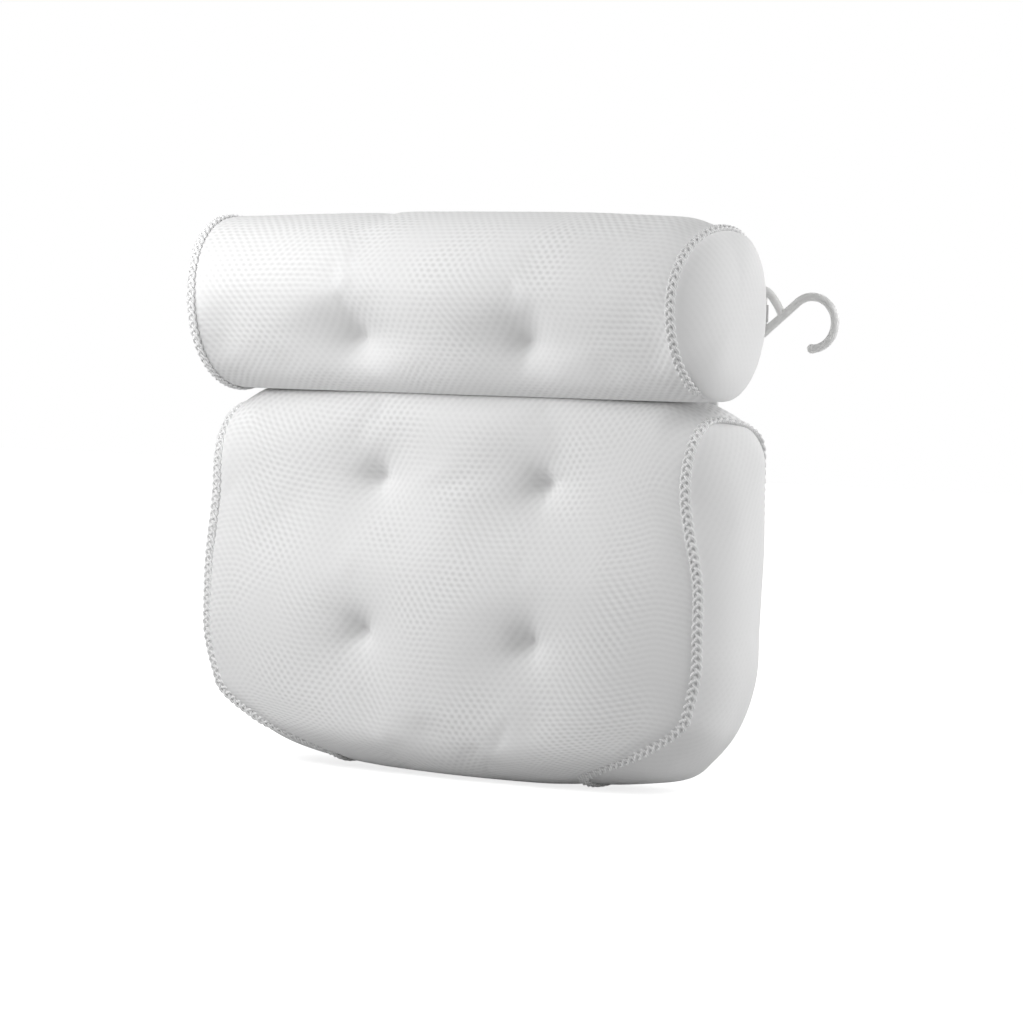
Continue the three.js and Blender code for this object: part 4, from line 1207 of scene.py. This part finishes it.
def ball(place, radius):
    deselect()
    bpy.ops.mesh.primitive_uv_sphere_add(segments=24, ring_count=16, radius=radius * mm,
                                         location=(hookOrigin + place) * mm)
    applyPlace()
    return bpy.context.object


main, bar, leg = wirePoints()
parts = [wire(main), wire(bar), wire(leg), ball(main[-1], hook["tip"]),
         ball(main[0], hook["wire"]), ball(bar[1], hook["wire"]), ball(leg[-1], hook["wire"])]
for part in parts:
    part.select_set(True)
bpy.context.view_layer.objects.active = parts[0]
bpy.ops.object.join()
hookPiece = bpy.context.object
hookPiece.name = "dryingHook"
applied(hookPiece, "REMESH", mode="VOXEL", voxel_size=hook["voxel"] * mm)
applied(hookPiece, "SMOOTH", factor=hook["smooth"], iterations=hook["smoothings"])
smoothed(hookPiece)
dress(hookPiece, whitePlastic)
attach(hookPiece, "hook")
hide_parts("hook")
print("hook made")

# Webbing loop: one tape folded round the bar, with its ends sewn on the roll's back.
loop = {"x": 179.5, "y": -9.2, "z": 161.3, "radius": 3.25, "width": 11, "tape": 0.9,
        "fold": 125, "foldSteps": 16, "flatX": [149.5, 154, 159, 164, 169], "innerY": -13.2,
        "outerY": -12.15, "wideCells": 6}


def loopPiece():
    outline = [(x, loop["innerY"]) for x in loop["flatX"]]
    for k in range(loop["foldSteps"] + 1):
        a = math.radians(mix(-loop["fold"], loop["fold"], k / loop["foldSteps"]))
        outline.append((loop["x"] + loop["radius"] * math.cos(a),
                        loop["y"] + loop["radius"] * math.sin(a)))
    outline += [(x, loop["outerY"]) for x in reversed(loop["flatX"])]
    piece = linked("hookLoop", bpy.data.meshes.new("hookLoop"))
    made = bmesh.new()
    low, high = loop["z"] - loop["width"] / 2, loop["z"] + loop["width"] / 2
    cells = loop["wideCells"]
    columns = [[made.verts.new(Vector((x, y, mix(low, high, k / cells))) * mm)
                for k in range(cells + 1)] for x, y in outline]
    for a, b in zip(columns, columns[1:]):
        for k in range(cells):
            made.faces.new((a[k], a[k + 1], b[k + 1], b[k]))
    made.to_mesh(piece.data)
    made.free()
    applied(piece, "SUBSURF", levels=1, render_levels=1)
    applied(piece, "SOLIDIFY", thickness=loop["tape"] * mm, offset=0)
    smoothed(piece)
    dress(piece, webbing)
    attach(piece, "roll")
    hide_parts("hook_loop")


loopPiece()
print("hook loop made")

# Camera at the photograph's place, lamps and floor
camera = {"azimuth": 32.198, "elevation": 2.975, "distance": 2476.7, "roll": 1.147,
          "target": (19.4, -50, 29.5), "lens": 133.88, "sensor": 36, "clipEnd": 30}
a, e, tilt = (math.radians(camera[k]) for k in ("azimuth", "elevation", "roll"))
away = Vector((math.sin(a) * math.cos(e), -math.cos(a) * math.cos(e), math.sin(e)))
right = Vector((math.cos(a), math.sin(a), 0))
up = away.cross(right)
turnedRight = right * math.cos(tilt) + up * math.sin(tilt)
turnedUp = -right * math.sin(tilt) + up * math.cos(tilt)
cameraData = bpy.data.cameras.new("camera")
cameraData.lens = camera["lens"]
cameraData.sensor_width = camera["sensor"]
cameraData.clip_end = camera["clipEnd"]
cameraObject = linked("camera", cameraData)
turn = Matrix((turnedRight, turnedUp, away)).transposed().to_4x4()
at = (Vector(camera["target"]) + away * camera["distance"]) * mm
cameraObject.matrix_world = Matrix.Translation(at) @ turn
bpy.context.scene.camera = cameraObject

lampTarget = Vector((0, -0.06, 0.04))
lamps = {
    "key": {"toward": (-0.75, -0.6, 0.6), "distance": 0.75, "size": 0.35, "power": 2.1},
    "near": {"toward": (-0.15, -0.59, 0.28), "distance": 0.67, "size": 0.3, "power": 1.75},
    "rightHigh": {"toward": (1, 0.1, 0.8), "distance": 1.8, "size": 1.0, "power": 10.6},
    "rightLow": {"toward": (1, 0.2, 0), "distance": 1.6, "size": 0.8, "power": 6.1},
    "back": {"toward": (0.6, 0.96, 0.21), "distance": 1.15, "size": 0.9, "power": 3.0},
    "topBack": {"toward": (-0.2, 0.5, 1), "distance": 1.8, "size": 1.0, "power": 1.6},
}
for name, lamp in lamps.items():
    data = bpy.data.lights.new(name, "AREA")
    data.shape = "DISK"
    data.size = lamp["size"]
    data.energy = lamp["power"]
    obj = linked(name, data)
    direction = Vector(lamp["toward"]).normalized()
    obj.location = direction * lamp["distance"] + lampTarget
    obj.rotation_euler = direction.to_track_quat("Z", "Y").to_euler()

ambient = 0.2
world = bpy.data.worlds.new("room")
bpy.context.scene.world = world
world.use_nodes = True
n = Nodes(world.node_tree)
background = next(x for x in world.node_tree.nodes if x.type == "BACKGROUND")
n.fill(background, Color=(1, 1, 1, 1),
       Strength=n.mapRange(n.inView(), 0, 1, ambient, 1.0, kind="LINEAR"))

# The floor keeps the soft shadow under the pillow and is white further out.
floorLook = {"size": 8, "under": 0.0004, "base": (0.6, 0.6, 0.6, 1), "roughness": 0.9,
             "glow": (0.25, 0.9, 0.78, 1.0)}
deselect()
bpy.ops.mesh.primitive_plane_add(size=floorLook["size"],
                                 location=(0, 0, cadBox[0].z - floorLook["under"]))
floor = bpy.context.object
floor.name = "floor"
material, n, shader = newMaterial("paleFloor")
length = n.add("ShaderNodeVectorMath", {0: n.add("ShaderNodeTexCoord").outputs["Object"]},
               operation="LENGTH").outputs["Value"]
n.fill(shader, Base_Color=floorLook["base"], Roughness=floorLook["roughness"],
       Emission_Color=(1, 1, 1, 1),
       Emission_Strength=n.times(n.inView(), n.mapRange(length, *floorLook["glow"])))
floor.data.materials.append(material)

scene = bpy.context.scene
scene.view_settings.view_transform = "Standard"
